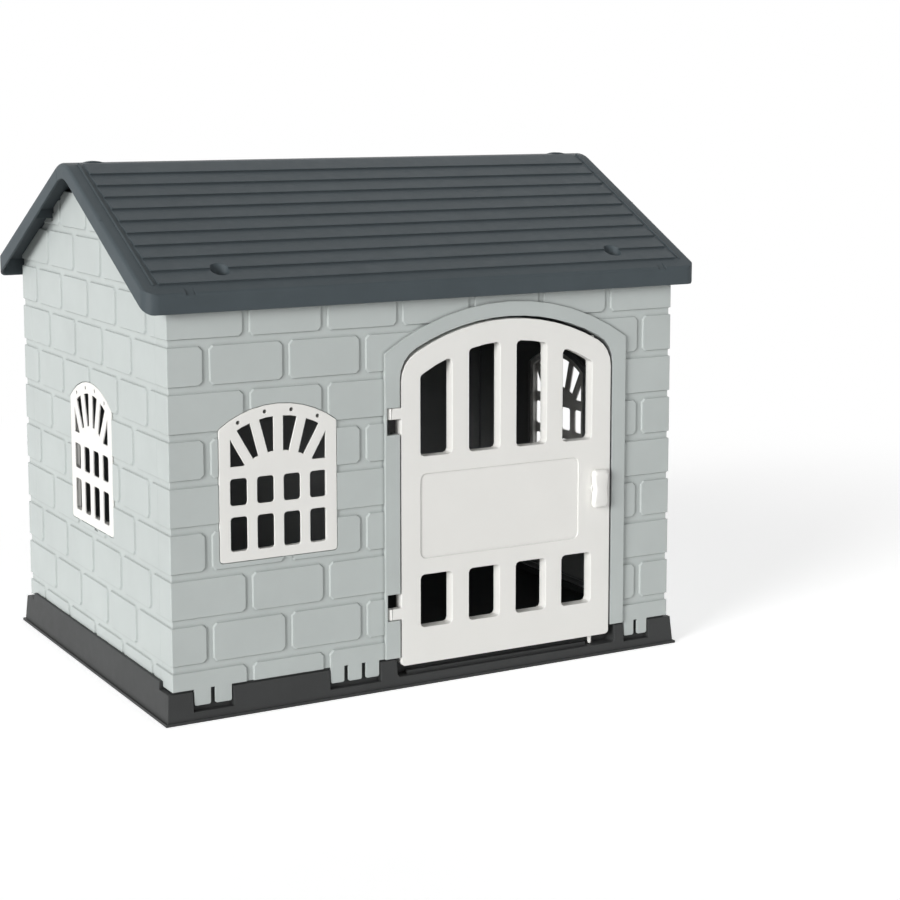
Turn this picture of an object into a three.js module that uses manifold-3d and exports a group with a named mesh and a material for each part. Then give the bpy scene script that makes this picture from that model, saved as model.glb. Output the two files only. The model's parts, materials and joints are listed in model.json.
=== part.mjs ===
// A flat-pack plastic dog house: base tray, four brick-pattern wall panels, two roof halves,
// three snap-in window grilles, and a hinged door with a quarter-turn latch and two latch rods.
// Millimetres, +Z up. X runs along the long front, which faces -Y. Z = 0 is the ground.

import * as THREE from "three";
import { mergeVertices } from "three/addons/utils/BufferGeometryUtils.js";
import Module from "manifold-3d";

const wasm = await Module();
wasm.setup();

// ---------------------------------------------------------------- driving dimensions

// House
const houseLength = 800; // outside of the gable walls, X
const roofDepth = 639; // over the eaves, Y
const houseHeight = 736; // ground to the top of the ridge
const fitGap = 0.4; // between pieces that touch
const slideGap = 1.0; // round pieces that move or snap in by hand

// Base tray
const baseHeight = 44; // ground to the seat of the walls
const skirtOverhang = 6; // top of the skirt outside the gable walls
const gableDraft = 3; // the skirt spreads toward its foot
const frontDraft = 4.5;
const flangeOverhang = 12.3; // foot flange outside the gable walls
const flangeLip = 7; // foot flange outside the front and rear walls
const flangeThickness = 4;
const floorDrop = 10; // floor below the seat of the walls
const floorThickness = 3.5;
const skirtThickness = 3.5;
const rimWidth = 24; // seat of the walls, skirt included
const rimRebateDepth = 2.8; // step along the outer edge of the seat
const rimRebateWidth = 3.5;
const gableLipHeight = 8; // lip that stands outside each gable wall
const gableLipEndInset = 33; // end of the lip from the corner of the house
const tabNotchDepth = 30; // notch for the wall tabs, below the seat
const tabNotchReach = 6.5; // and behind the top of the skirt
const sillDrop = 28; // door sill below the seat of the walls
const sillCorner = 6;
const sillRidgeHeight = 5; // ridge on the sill behind its front edge
const sillRidgeInset = 19; // from the left end of the sill
const sillRidgeFront = 5; // behind the brick faces
const sillRidgeWidth = 7;
const floorRibThickness = 3;
const floorRibCountX = 3; // ribs across the length
const floorRibCountY = 1; // ribs along the length

// Wall panels
const wallThickness = 4.5;
const cornerRadius = 1.5; // upright corners of the house
const panelDepth = 20; // stiffening flanges behind the face
const flangeWall = 3.5;
const returnDepth = 41; // front and rear panels wrap round the corners
const tongueWidth = 16; // gable panel behind the wrapped corner
const tongueThickness = 3;
const roofClearance = 1.2; // gable edges below the underside of the roof
const longWallDrop = 2; // top of the front and rear panels below the eave
const gableTopDrop = 52.6; // flat top of the gable panels below the meeting of the slopes
const mortarDepth = 2.5;
const mortarWidth = 9;
const brickPitch = 115;
const coursePitch = 62.2;
const firstCourse = 29.3; // first mortar joint above the foot of the wall
const brickCorner = 5;
const brickDraft = 1.2;
const ribNotchWidth = 18; // gable notch under a roof rib
const ribNotchDepth = 4.5;
const ribSlotWidth = 6.8; // and the slot that the rib drops into
const ribSlotDepth = 16.5;

// Wall tabs that hang over the base skirt, left to right
const tabSlit = 6.5; // between neighbouring tabs
const tabSideGap = 2; // from a group of tabs to the sides of its notch
const tabThickness = 4;
const tabDrop = 22.5;
const tabPairInset = 31; // left corner of the house to the first pair
const tabPairWidth = 54;
const tabTrioInset = 32; // the three tabs to the door opening
const tabTrioWidth = 75;
const tabEndInset = 37; // last pair to the right corner
const tabEndWidth = 41;

// Door opening and its raised surround
const openingLeft = 340; // from the left corner of the house
const openingWidth = 354;
const openingCrown = 517.5; // crown of the arch above the ground
const openingArchRadius = 331;
const surroundWidth = 23;
const surroundProud = 4;
const surroundArchRadius = 353.5;

// Door
const doorSideGap = 2.5;
const doorCrownGap = 3.9;
const doorFootDrop = 13.3; // foot of the door below the foot of the walls
const doorArchRadius = 309;
const doorDepth = 18;
const doorSkin = 3;
const doorRim = 2.5;
const doorSetback = 1; // door face behind the face of the surround
const doorFootCorner = 6;
const doorTopCorner = 45;
const slotWidth = 51;
const slotPitch = 78.3;
const slotCount = 4;
const firstSlotInset = 30.5; // left edge of the door to the first slot
const slotArchInset = 31.5; // top of the upper slots below the door's arch
const upperSlotFoot = 297; // foot of the upper slots above the foot of the door
const lowerSlotFoot = 52;
const lowerSlotHeight = 76;
const slotCorner = 6;
const fieldFoot = 151; // sunk field between the slots, above the foot of the door
const fieldHeight = 121;
const fieldDepth = 1.5;
const fieldRightInset = 55.5; // right edge of the door to the field
const fieldCorner = 9;

// Door hinge
const hingeInset = 15; // hinge axis outside the left edge of the door
const lugRadius = 5.5;
const lugHeight = 15.5;
const hingePinRadius = 2.5;
const hingePinGap = 0.35;
const hingePinSocket = 12; // pin inside the wall
const lugSlotHeight = 38;
const lugSlotSide = 7.5; // side of the lug slot from the hinge axis
const upperLugTop = 355; // above the foot of the walls
const lowerLugFoot = 55;

// Door latch
const latchInset = 25.5; // latch axis from the free edge of the door
const latchHeight = 223; // latch axis above the foot of the door
const gripLength = 57;
const gripWidth = 27;
const gripWaist = 22;
const gripProud = 11;
const gripOffset = 5; // centre of the grip from the latch axis, toward the free edge
const gripLift = 1.8; // back of the grip in front of the door
const gripHubRadius = 9;
const spindleRadius = 5;
const spindleSquare = 6;
const camThickness = 3.5;
const camRim = 2; // disc outside the spiral slots
const camStart = 9; // rod peg from the latch axis, latch open
const latchTravel = 8; // rod travel over a quarter turn
const rodWidth = 8;
const rodThickness = 6;
const rodPegRadius = 2.4;
const rodBarEnd = 70; // where the flat bar ends, from the latch axis
const rodEndRadius = 3;
const rodHoleGap = 0.8;
const pegGap = 0.5;
const guideThickness = 2.5;

// Window grilles
const windowWidth = 173;
const windowHeight = 209.5;
const windowRise = 29; // of the arched head
const windowFoot = 166.3; // above the foot of the walls
const frontWindowLeft = 71; // from the left corner of the house
const windowDepth = 8;
const windowSkin = 2.5;
const windowBorder = 16.5;
const windowRest = 5; // rebate that the grille lies against
const paneColumns = 4;
const panePitch = 39;
const paneWidth = 24.6;
const lowerPaneFoot = 14;
const lowerPaneHeight = 46.7;
const upperPaneFoot = 76.2;
const upperPaneHeight = 36.5;
const fanFoot = 129;
const fanHubHeight = 59; // centre of the rays above the foot of the grille
const fanHubRadius = 87;
const fanBarWidth = 14;
const fanBarAngle = 15; // degrees between neighbouring rays
const paneCorner = 4;
const ventHoleRadius = 2.8;
const windowCorner = 4;
const snapHookWidth = 12;
const snapHookReach = 1.5;
const pryNotchWidth = 14;
const pryNotchHeight = 3;

// Roof
const roofSlope = 27.4; // degrees
const roofEndOverhang = 34.3; // beyond the gable walls
const roofEaveOverhang = 18; // beyond the front and rear walls
const eaveFascia = 26.5;
const roofPlate = 3;
const fasciaThickness = 3.5;
const ridgeRadius = 60;
const roofCorner = 20; // rounded corners of the eaves, in plan
const roofEdge = 5; // rounded upper edge all round
const rakeFascia = 23; // end fascia below the slope at the ridge
const rakeRidgeRadius = 50; // its lower edge under the ridge
const plankStart = 22.5; // eave edge to the first plank
const plankPitch = 31.8;
const plankCount = 10;
const plankStep = 2.6;
const plankEndInset = 26; // ends of the planks from the end of the roof
const rakeBeadWidth = 3;
const rakeBeadInset = 19;
const rakeBeadHeight = 1.6;
const ridgeLap = 26; // front half wraps over the ridge onto the rear slope
const tongueReach = 18; // rear half under the front half
const roofRibOffset = 150.8; // roof rib from the ridge
const roofRibDepth = 13;
const pocketRadius = 13;
const pocketWall = 3;
const pocketFromEnd = 122; // from the end of the roof
const pocketFromEave = 44.6;
const pocketDepth = 7;
const dripNotchFromEnd = 63;
const dripNotchSize = 13;
const ridgePadFromEnd = 47;
const ridgePadWidth = 25;
const ridgePadHeight = 2;

// Screws
const roofScrewHead = 5.5;
const roofScrewShank = 2.3;
const roofScrewLength = 14;
const roofScrewHeadHeight = 3;
const wallScrewHead = 4;
const wallScrewShank = 1.7;
const wallScrewTipGap = 0.8; // short of the bottom of its hole
const wallScrewHeadHeight = 2;
const wallScrewCourses = [2, 6]; // brick courses that hold the corner screws

// ---------------------------------------------------------------- derived dimensions

const halfLength = houseLength / 2;
const roofHalfLength = halfLength + roofEndOverhang;
const roofHalfDepth = roofDepth / 2;
const halfDepth = roofHalfDepth - roofEaveOverhang;
const slopeTan = Math.tan(THREE.MathUtils.degToRad(roofSlope));
const slopeCos = Math.cos(THREE.MathUtils.degToRad(roofSlope));
const slopeSin = slopeTan * slopeCos;
const ridgeTop = houseHeight - ridgePadHeight;
const ridgeHeight = ridgeTop + ridgeRadius / slopeCos - ridgeRadius; // where the two slopes would meet
const eaveHeight = ridgeHeight - roofHalfDepth * slopeTan; // top edge of the eave
const longWallTop = eaveHeight - longWallDrop;
const gableTruncation = ridgeHeight - gableTopDrop;
const tabGroups = [
  { left: tabPairInset, width: tabPairWidth, count: 2 },
  { left: openingLeft - tabTrioInset - tabTrioWidth, width: tabTrioWidth, count: 3 },
  { left: houseLength - tabEndInset - tabEndWidth, width: tabEndWidth, count: 2 },
]; // distance of each group from the left corner
const roofTop = (y) => ridgeHeight - Math.abs(y) * slopeTan;
const roofUnderside = (y) => roofTop(y) - roofPlate / slopeCos;

const openingCentre = openingLeft + openingWidth / 2 - halfLength;
const doorWidth = openingWidth - 2 * doorSideGap;
const doorLeft = openingCentre - doorWidth / 2;
const doorRight = openingCentre + doorWidth / 2;
const doorFoot = baseHeight - doorFootDrop;
const doorCrown = openingCrown - doorCrownGap;
const doorFace = -surroundProud + doorSetback; // depth behind the brick faces
const doorBack = doorFace + doorDepth;
const surroundCrown = openingCrown + surroundWidth - 2;

const hingeX = doorLeft - hingeInset;
const hingeDepth = doorFace + lugRadius;
const latchX = doorRight - latchInset;
const latchZ = doorFoot + latchHeight;
const gripTop = doorFace - gripProud;
const camFront = doorFace + doorSkin + 3;
const rodFront = camFront + camThickness + slideGap / 2;
const camRadius = camStart + latchTravel + rodPegRadius + pegGap + camRim;
const rodDepth = rodFront + rodThickness / 2;

const pocketX = roofHalfLength - pocketFromEnd;
const pocketY = roofHalfDepth - pocketFromEave;
const pocketFloor = ridgeHeight - (pocketY + pocketRadius) * slopeTan - pocketDepth;
const pocketSeat = pocketFloor - pocketWall - fitGap; // top of the wall bracket below the pocket

// ---------------------------------------------------------------- solids

/** A closed three.js geometry as a solid that can be joined and cut. */
function solid(geometry) {
  const bare = new THREE.BufferGeometry();
  bare.setAttribute("position", geometry.getAttribute("position"));
  bare.setIndex(geometry.getIndex());
  const merged = mergeVertices(bare, 1e-4);
  const mesh = new wasm.Mesh({
    numProp: 3,
    vertProperties: merged.getAttribute("position").array,
    triVerts: Uint32Array.from(merged.getIndex().array),
  });
  return new wasm.Manifold(mesh);
}

/** The solid back as a three.js geometry. */
function geometryOf(body) {
  const mesh = body.getMesh();
  const geometry = new THREE.BufferGeometry();
  geometry.setAttribute("position", new THREE.BufferAttribute(mesh.vertProperties.slice(), 3));
  geometry.setIndex(new THREE.BufferAttribute(mesh.triVerts.slice(), 1));
  geometry.computeVertexNormals();
  return geometry;
}

// An outline is drawn in the plane across the axis: x, z for "y"; y, z for "x"; x, y for "z".
const axisFrames = {
  x: new THREE.Matrix4().set(0, 0, 1, 0, 1, 0, 0, 0, 0, 1, 0, 0, 0, 0, 0, 1),
  y: new THREE.Matrix4().set(1, 0, 0, 0, 0, 0, -1, 0, 0, 1, 0, 0, 0, 0, 0, 1),
  z: new THREE.Matrix4(),
};
// A loft along y is given by its depths: a mirrored frame, which needs its faces reversed.
const mirroredY = new THREE.Matrix4().set(1, 0, 0, 0, 0, 0, 1, 0, 0, 1, 0, 0, 0, 0, 0, 1);

/** The outline as a solid that runs from low to high along the axis. */
function prism(axis, outline, low, high) {
  const shape = new THREE.Shape(outline.map(([a, b]) => new THREE.Vector2(a, b)));
  const geometry = new THREE.ExtrudeGeometry(shape, { depth: high - low, bevelEnabled: false });
  geometry.translate(0, 0, axis === "y" ? -high : low);
  geometry.applyMatrix4(axisFrames[axis]);
  return solid(geometry);
}

/** A box between two corners. */
function box(x0, x1, y0, y1, z0, z1) {
  const geometry = new THREE.BoxGeometry(x1 - x0, y1 - y0, z1 - z0);
  geometry.translate((x0 + x1) / 2, (y0 + y1) / 2, (z0 + z1) / 2);
  return solid(geometry);
}

/** Outlines with as many points each, at rising positions along the axis, skinned into a solid. */
function loft(axis, stations) {
  const count = stations[0].outline.length;
  const points = stations.flatMap(({ at, outline }) => outline.map(([a, b]) => [a, b, at]));
  const cap = THREE.ShapeUtils.triangulateShape(
    stations[0].outline.map(([a, b]) => new THREE.Vector2(a, b)),
    [],
  );
  const top = (stations.length - 1) * count;
  const faces = cap.flatMap(([a, b, c]) => [a, c, b, top + a, top + b, top + c]);
  for (let layer = 0; layer < top; layer += count) {
    for (let i = 0; i < count; i += 1) {
      const [p, q] = [layer + i, layer + ((i + 1) % count)];
      faces.push(p, q, q + count, p, q + count, p + count);
    }
  }
  if (axis === "y") faces.reverse();
  const geometry = new THREE.BufferGeometry();
  geometry.setAttribute("position", new THREE.Float32BufferAttribute(points.flat(), 3));
  geometry.setIndex(faces);
  geometry.applyMatrix4(axis === "y" ? mirroredY : axisFrames[axis]);
  return solid(geometry);
}

const joined = (bodies) => bodies.reduce((whole, body) => whole.add(body));
const cut = (body, tools) => (tools.length ? body.subtract(joined(tools)) : body);

// ---------------------------------------------------------------- outlines

const rectangle = (x0, x1, y0, y1) => [
  [x0, y0],
  [x1, y0],
  [x1, y1],
  [x0, y1],
];

function circle(cx, cy, radius, sides = 16) {
  return Array.from({ length: sides }, (_, i) => {
    const angle = ((i + 0.5) / sides) * 2 * Math.PI;
    return [cx + radius * Math.cos(angle), cy + radius * Math.sin(angle)];
  });
}

/** Points of an arc that bulges up, from the right end to the left end. */
function crownArc(cx, crown, radius, right, left, steps) {
  const from = Math.asin((right - cx) / radius);
  const to = Math.asin((left - cx) / radius);
  return Array.from({ length: steps + 1 }, (_, i) => {
    const angle = from + ((to - from) * i) / steps;
    return [cx + radius * Math.sin(angle), crown - radius * (1 - Math.cos(angle))];
  });
}

/** An outline with an arched head; cx is the middle of its arc. */
function arched(left, right, foot, cx, crown, radius, steps) {
  return [[left, foot], [right, foot], ...crownArc(cx, crown, radius, right, left, steps)];
}

/** The same with its two upper corners run round to meet the arc at the given radius. */
function archedRound(left, right, foot, cx, crown, radius, corner, steps, cornerSteps = 4) {
  const [first, last] = [right, left].map((side) => {
    const x = side - Math.sign(side - cx) * corner;
    const rise = Math.sqrt((radius - corner) ** 2 - (x - cx) ** 2);
    return { x, z: crown - radius + rise, angle: Math.atan2(x - cx, rise) };
  });
  const sweep = (x, z, size, from, to, count) =>
    Array.from({ length: count + 1 }, (_, i) => {
      const angle = from + ((to - from) * i) / count;
      return [x + size * Math.sin(angle), z + size * Math.cos(angle)];
    });
  return [
    [left, foot],
    [right, foot],
    ...sweep(first.x, first.z, corner, Math.PI / 2, first.angle, cornerSteps),
    ...sweep(cx, crown - radius, radius, first.angle, last.angle, steps).slice(1, -1),
    ...sweep(last.x, last.z, corner, last.angle, -Math.PI / 2, cornerSteps),
  ];
}

/** The outline with every corner that turns by more than 35 degrees rounded. */
function rounded(outline, radius, steps = 3) {
  const result = [];
  outline.forEach(([x, y], i) => {
    const [px, py] = outline.at(i - 1);
    const [nx, ny] = outline[(i + 1) % outline.length];
    const back = new THREE.Vector2(px - x, py - y).normalize();
    const ahead = new THREE.Vector2(nx - x, ny - y).normalize();
    const inside = Math.acos(THREE.MathUtils.clamp(back.dot(ahead), -1, 1));
    if (Math.PI - inside < THREE.MathUtils.degToRad(35)) {
      result.push([x, y]);
      return;
    }
    const size = typeof radius === "function" ? radius(x, y) : radius;
    const tangent = size / Math.tan(inside / 2);
    const centre = back.clone().add(ahead).setLength(size / Math.sin(inside / 2));
    const from = back.clone().multiplyScalar(tangent).sub(centre);
    const turn = Math.PI - inside;
    const side = Math.sign(back.x * ahead.y - back.y * ahead.x);
    for (let k = 0; k <= steps; k += 1) {
      const arm = from.clone().rotateAround(new THREE.Vector2(), (-side * turn * k) / steps);
      result.push([x + centre.x + arm.x, y + centre.y + arm.y]);
    }
  });
  return result;
}

// ---------------------------------------------------------------- brick pattern

const courseJoint = (course) => baseHeight + firstCourse + course * coursePitch;
const courseMiddle = (course) => courseJoint(course) - coursePitch / 2;

/** One brick of the pattern: smallest at its face, largest at the bottom of the mortar. */
function brick(left, right, foot, head) {
  const outline = (inset) => {
    const [x0, x1] = [left + inset, right - inset];
    const [z0, z1] = [foot + inset, head - inset];
    const c = Math.min(brickCorner, (x1 - x0) / 3, (z1 - z0) / 3);
    return [
      [x0 + c, z0],
      [x1 - c, z0],
      [x1, z0 + c],
      [x1, z1 - c],
      [x1 - c, z1],
      [x0 + c, z1],
      [x0, z1 - c],
      [x0, z0 + c],
    ];
  };
  const spill = brickDraft / mortarDepth; // taper per millimetre of depth
  return loft("y", [
    { at: -1, outline: outline(brickDraft + spill) },
    { at: mortarDepth + 1, outline: outline(-spill) },
  ]);
}

/**
 * The mortar joints of one face as a solid to cut away. Bricks run past the ends that wrap a
 * corner; shift moves the first joint of even courses by half a brick.
 */
function mortar(left, right, foot, head, evenShift, wrapLeft, wrapRight) {
  const bricks = [];
  const courses = Math.ceil((head - baseHeight - firstCourse) / coursePitch) + 1;
  const half = mortarWidth / 2;
  const beyond = 4 * brickCorner;
  for (let course = 0; course < courses; course += 1) {
    const z0 = course === 0 ? foot - beyond : courseJoint(course - 1) + half;
    const z1 = Math.min(courseJoint(course) - half, head + beyond);
    const shift = (course % 2 === 0) === evenShift ? brickPitch / 2 : 0;
    const first = Math.ceil((left - shift) / brickPitch);
    const last = Math.floor((right - shift) / brickPitch);
    const joints = [];
    for (let k = first; k <= last; k += 1) joints.push(shift + k * brickPitch);
    const inner = joints.filter((x) => x > left + mortarWidth * 1.2 && x < right - mortarWidth * 1.2);
    const starts = [wrapLeft ? left - beyond : left, ...inner.map((x) => x + half)];
    const ends = [...inner.map((x) => x - half), wrapRight ? right + beyond : right];
    starts.forEach((start, i) => bricks.push(brick(start, ends[i], z0, z1)));
  }
  return box(left - 2, right + 2, -2, mortarDepth, foot - 2, head + 2).subtract(joined(bricks));
}

// ---------------------------------------------------------------- window grille and its hole

const windowCrown = baseHeight + windowFoot + windowHeight;
const windowArch = (windowWidth ** 2 / 4 + windowRise ** 2) / (2 * windowRise);

/** The outline of a window grille about cx, larger by grow all round. */
function windowOutline(cx, grow, steps = 10) {
  const half = windowWidth / 2 + grow;
  const foot = baseHeight + windowFoot - grow;
  const outline = arched(cx - half, cx + half, foot, cx, windowCrown + grow, windowArch + grow, steps);
  return rounded(outline, Math.max(windowCorner + grow, 1), 2);
}

/** The hole, rebate and rim that hold a window grille, as what is added and what is cut. */
function windowSeat(cx) {
  const rim = prism("y", windowOutline(cx, slideGap + flangeWall), wallThickness / 2, windowDepth + 3);
  const pocket = prism("y", windowOutline(cx, slideGap), -5, windowSkin + fitGap);
  const through = prism("y", windowOutline(cx, -windowRest), -5, panelDepth);
  const foot = baseHeight + windowFoot - slideGap;
  const pryX = cx + windowWidth * 0.08;
  const pry = box(pryX - pryNotchWidth / 2, pryX + pryNotchWidth / 2, -5, mortarDepth, foot - pryNotchHeight,
    foot + 1);
  return { added: [rim], removed: [pocket, through, pry] };
}

/** One window grille: a plate with a fan of rays over two rows of panes, ribbed behind. */
function windowGrille(cx) {
  const foot = baseHeight + windowFoot;
  const half = windowWidth / 2 - windowBorder;
  const panes = [];
  for (let column = 0; column < paneColumns; column += 1) {
    const x = cx + (column - (paneColumns - 1) / 2) * panePitch;
    const rows = [
      [lowerPaneFoot, lowerPaneHeight],
      [upperPaneFoot, upperPaneHeight],
    ];
    rows.forEach(([low, height]) => {
      const pane = rectangle(x - paneWidth / 2, x + paneWidth / 2, foot + low, foot + low + height);
      panes.push(prism("y", rounded(pane, paneCorner, 2), -1, windowDepth + 1));
    });
  }
  const head = arched(
    cx - half,
    cx + half,
    foot + fanFoot,
    cx,
    windowCrown - windowBorder,
    windowArch - windowBorder,
    8,
  );
  const fan = prism("y", head, -1, windowDepth + 1);
  const hub = prism("y", circle(cx, foot + fanHubHeight, fanHubRadius, 24), -2, windowDepth + 2);
  const bars = [-2, -1, 0, 1, 2].map((k) => {
    const bar = new THREE.BoxGeometry(fanBarWidth, windowDepth + 4, 2 * windowHeight);
    bar.rotateY(THREE.MathUtils.degToRad(k * fanBarAngle));
    bar.translate(cx, windowDepth / 2, foot + fanHubHeight);
    return solid(bar);
  });
  const vents = [-1.5, -0.5, 0.5, 1.5].map((k) => {
    const x = k * panePitch;
    const z = windowCrown - windowArch + Math.sqrt((windowArch - windowBorder / 2) ** 2 - x ** 2);
    return prism("y", circle(cx + x, z, ventHoleRadius, 8), -1, windowDepth + 1);
  });
  const face = prism("y", windowOutline(cx, 0), 0, windowSkin);
  const rim = prism("y", windowOutline(cx, -windowRest - fitGap), windowSkin - 0.5, windowDepth);
  const ribs = rim.subtract(prism("y", windowOutline(cx, 2 - windowBorder), windowSkin, windowDepth + 1));
  const hooks = [-1, 1].flatMap((side) => {
    const x = cx + side * panePitch;
    const reach = windowRest + snapHookReach;
    const hookFoot = foot + reach - 2 * snapHookReach;
    return [
      box(x - snapHookWidth / 2, x + snapHookWidth / 2, windowDepth + 3 + fitGap, windowDepth + 5.5,
        hookFoot, foot + lowerPaneFoot - 1),
      box(x - snapHookWidth / 2, x + snapHookWidth / 2, windowDepth - 1, windowDepth + 5.5,
        foot + windowRest + 2 * fitGap, foot + lowerPaneFoot - 1),
    ];
  });
  return cut(joined([face, ribs, ...hooks]), [...panes, fan.subtract(joined([hub, ...bars])), ...vents]);
}

// ---------------------------------------------------------------- door opening

function openingOutline(grow) {
  const left = openingCentre - openingWidth / 2 - grow;
  const right = openingCentre + openingWidth / 2 + grow;
  const crown = openingCrown + grow;
  const corner = doorTopCorner + doorSideGap + grow;
  const arch = openingArchRadius + grow;
  return archedRound(left, right, -10, openingCentre, crown, arch, corner, 12);
}

/** The surround, jamb, hinge slots and pin sockets of the door opening. */
function doorway() {
  const left = openingCentre - openingWidth / 2 - surroundWidth;
  const right = openingCentre + openingWidth / 2 + surroundWidth;
  const outline = arched(left, right, baseHeight, openingCentre, surroundCrown, surroundArchRadius, 12);
  const surround = prism("y", outline, -surroundProud, wallThickness);
  const above = box(-halfLength, halfLength, 0, panelDepth, baseHeight, longWallTop);
  const jamb = prism("y", openingOutline(flangeWall), 1, panelDepth).intersect(above);
  const slots = [];
  const sockets = [];
  const bosses = [];
  const hinges = [
    { top: baseHeight + upperLugTop + slideGap, up: 1 },
    { top: baseHeight + lowerLugFoot - slideGap + lugSlotHeight, up: -1 },
  ];
  hinges.forEach(({ top, up }) => {
    const slotFoot = top - lugSlotHeight;
    slots.push(box(hingeX - lugSlotSide, doorLeft, -panelDepth, panelDepth + 1, slotFoot, top));
    const end = up > 0 ? top : slotFoot;
    const low = up > 0 ? end - 1 : end - hingePinSocket - slideGap;
    const high = up > 0 ? end + hingePinSocket + slideGap : end + 1;
    const bore = circle(hingeX, hingeDepth, hingePinRadius + hingePinGap, 16);
    sockets.push(prism("z", bore, low, high));
    const bossLow = up > 0 ? end : end - hingePinSocket - 4;
    bosses.push(box(hingeX - 8, hingeX + 8, 0, hingeDepth + 7, bossLow, bossLow + hingePinSocket + 4));
  });
  const rodHole = circle(latchX, rodDepth, rodEndRadius + rodHoleGap, 12);
  const crownAtLatch = openingCrown + flangeWall;
  const keeper = prism("z", rodHole, crownAtLatch - 60, crownAtLatch + 10);
  return {
    outline,
    added: [surround, jamb, ...bosses],
    removed: [prism("y", openingOutline(0), -20, panelDepth + 5), ...slots, ...sockets, keeper],
  };
}

// ---------------------------------------------------------------- wall panels

/** The wall bracket under a roof pocket, in the frame of a long wall panel. */
function roofBracket(x) {
  const depth = halfDepth - pocketY;
  const reach = pocketRadius + pocketWall;
  const arm = box(x - reach, x + reach, panelDepth - 8, depth + reach, pocketSeat - 4, pocketSeat);
  const riser = box(x - reach, x + reach, panelDepth - 8, panelDepth - 2, longWallTop - 2, pocketSeat);
  const boss = prism("z", circle(x, depth, roofScrewShank + 4, 12), pocketSeat - 12, pocketSeat);
  const bore = prism("z", circle(x, depth, roofScrewShank + fitGap, 10), pocketSeat - 14, pocketSeat + 1);
  return { added: [arm, riser, boss], removed: [bore] };
}

/** The tabs of a long wall that hang in the notches of the base skirt. */
function wallTabs() {
  return tabGroups.flatMap(({ left, width, count }) => {
    const tabWidth = (width - (count - 1) * tabSlit) / count;
    return Array.from({ length: count }, (_, i) => {
      const x = left - halfLength + i * (tabWidth + tabSlit);
      const foot = baseHeight - tabDrop;
      const face = rounded(rectangle(x, x + tabWidth, foot, baseHeight + 6), 2.5, 2);
      return prism("y", face, 0, tabThickness);
    });
  });
}

/** A front or rear panel: face, wrapped corners, flanges, brackets and tabs; extras are cut in. */
function longWall(extras, faceKeepOut) {
  const face = box(-halfLength, halfLength, 0, wallThickness, baseHeight, longWallTop);
  const returns = [-1, 1].map((side) => {
    const outer = side * halfLength;
    const inner = side * (halfLength - wallThickness);
    const outline = [
      [0, baseHeight],
      [returnDepth, baseHeight],
      [returnDepth, roofUnderside(halfDepth - returnDepth) - roofClearance],
      [0, roofUnderside(halfDepth) - roofClearance],
    ];
    return prism("x", outline, Math.min(outer, inner), Math.max(outer, inner));
  });
  const inset = halfLength - wallThickness + 1;
  const flanges = [
    box(-inset, inset, wallThickness - 1, panelDepth, longWallTop - flangeWall, longWallTop),
    box(-inset, inset, wallThickness - 1, panelDepth, baseHeight, baseHeight + flangeWall),
  ];
  const brackets = [-1, 1].map((side) => roofBracket(side * pocketX));
  const joints = mortar(-halfLength, halfLength, baseHeight, longWallTop, true, true, true);
  const keepOut = faceKeepOut ? prism("y", faceKeepOut, -10, wallThickness) : null;
  const faceJoints = keepOut ? joints.subtract(keepOut) : joints;
  const sideJoints = [-1, 1].map((side) => {
    const flat = mortar(0, returnDepth, baseHeight, eaveHeight + roofPlate, true, true, true);
    return flat.rotate([0, 0, side * 90]).translate([side * halfLength, side > 0 ? 0 : returnDepth, 0]);
  });
  const screwHoles = [-1, 1].flatMap((side) =>
    wallScrewCourses.map((course) => {
      const bore = circle(cornerScrewDepth, courseMiddle(course), wallScrewShank + fitGap, 10);
      const outer = side * (halfLength - cornerScrewFloor);
      const inner = side * (halfLength - wallThickness - 1);
      return prism("x", bore, Math.min(outer, inner), Math.max(outer, inner));
    }),
  );
  const plan = rounded(
    [...rectangle(-halfLength, halfLength, 0, returnDepth)],
    cornerRadius,
    3,
  ).map(([x, y]) => [x, y > returnDepth / 2 ? returnDepth : y]);
  const shellPlan = prism("z", plan, 0, ridgeHeight);
  const shell = joined([face, ...returns]).intersect(shellPlan);
  const blank = joined([
    shell,
    ...flanges,
    ...brackets.flatMap((b) => b.added),
    ...extras.flatMap((e) => e.added),
  ]);
  const grooved = blank.subtract(faceJoints).subtract(joined(sideJoints));
  const shaped = cut(grooved, [
    ...brackets.flatMap((b) => b.removed),
    ...screwHoles,
    ...extras.flatMap((e) => e.removed),
  ]);
  return joined([shaped, ...wallTabs()]);
}

const cornerScrewDepth = returnDepth - tongueWidth / 2; // behind the front face
const cornerScrewFloor = 1.2; // bottom of a screw hole below the brick face
const cornerScrewSeat = wallThickness + 2 * fitGap + tongueThickness; // depth of the screw head
const wallScrewLength = cornerScrewSeat - cornerScrewFloor - wallScrewTipGap;

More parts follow.
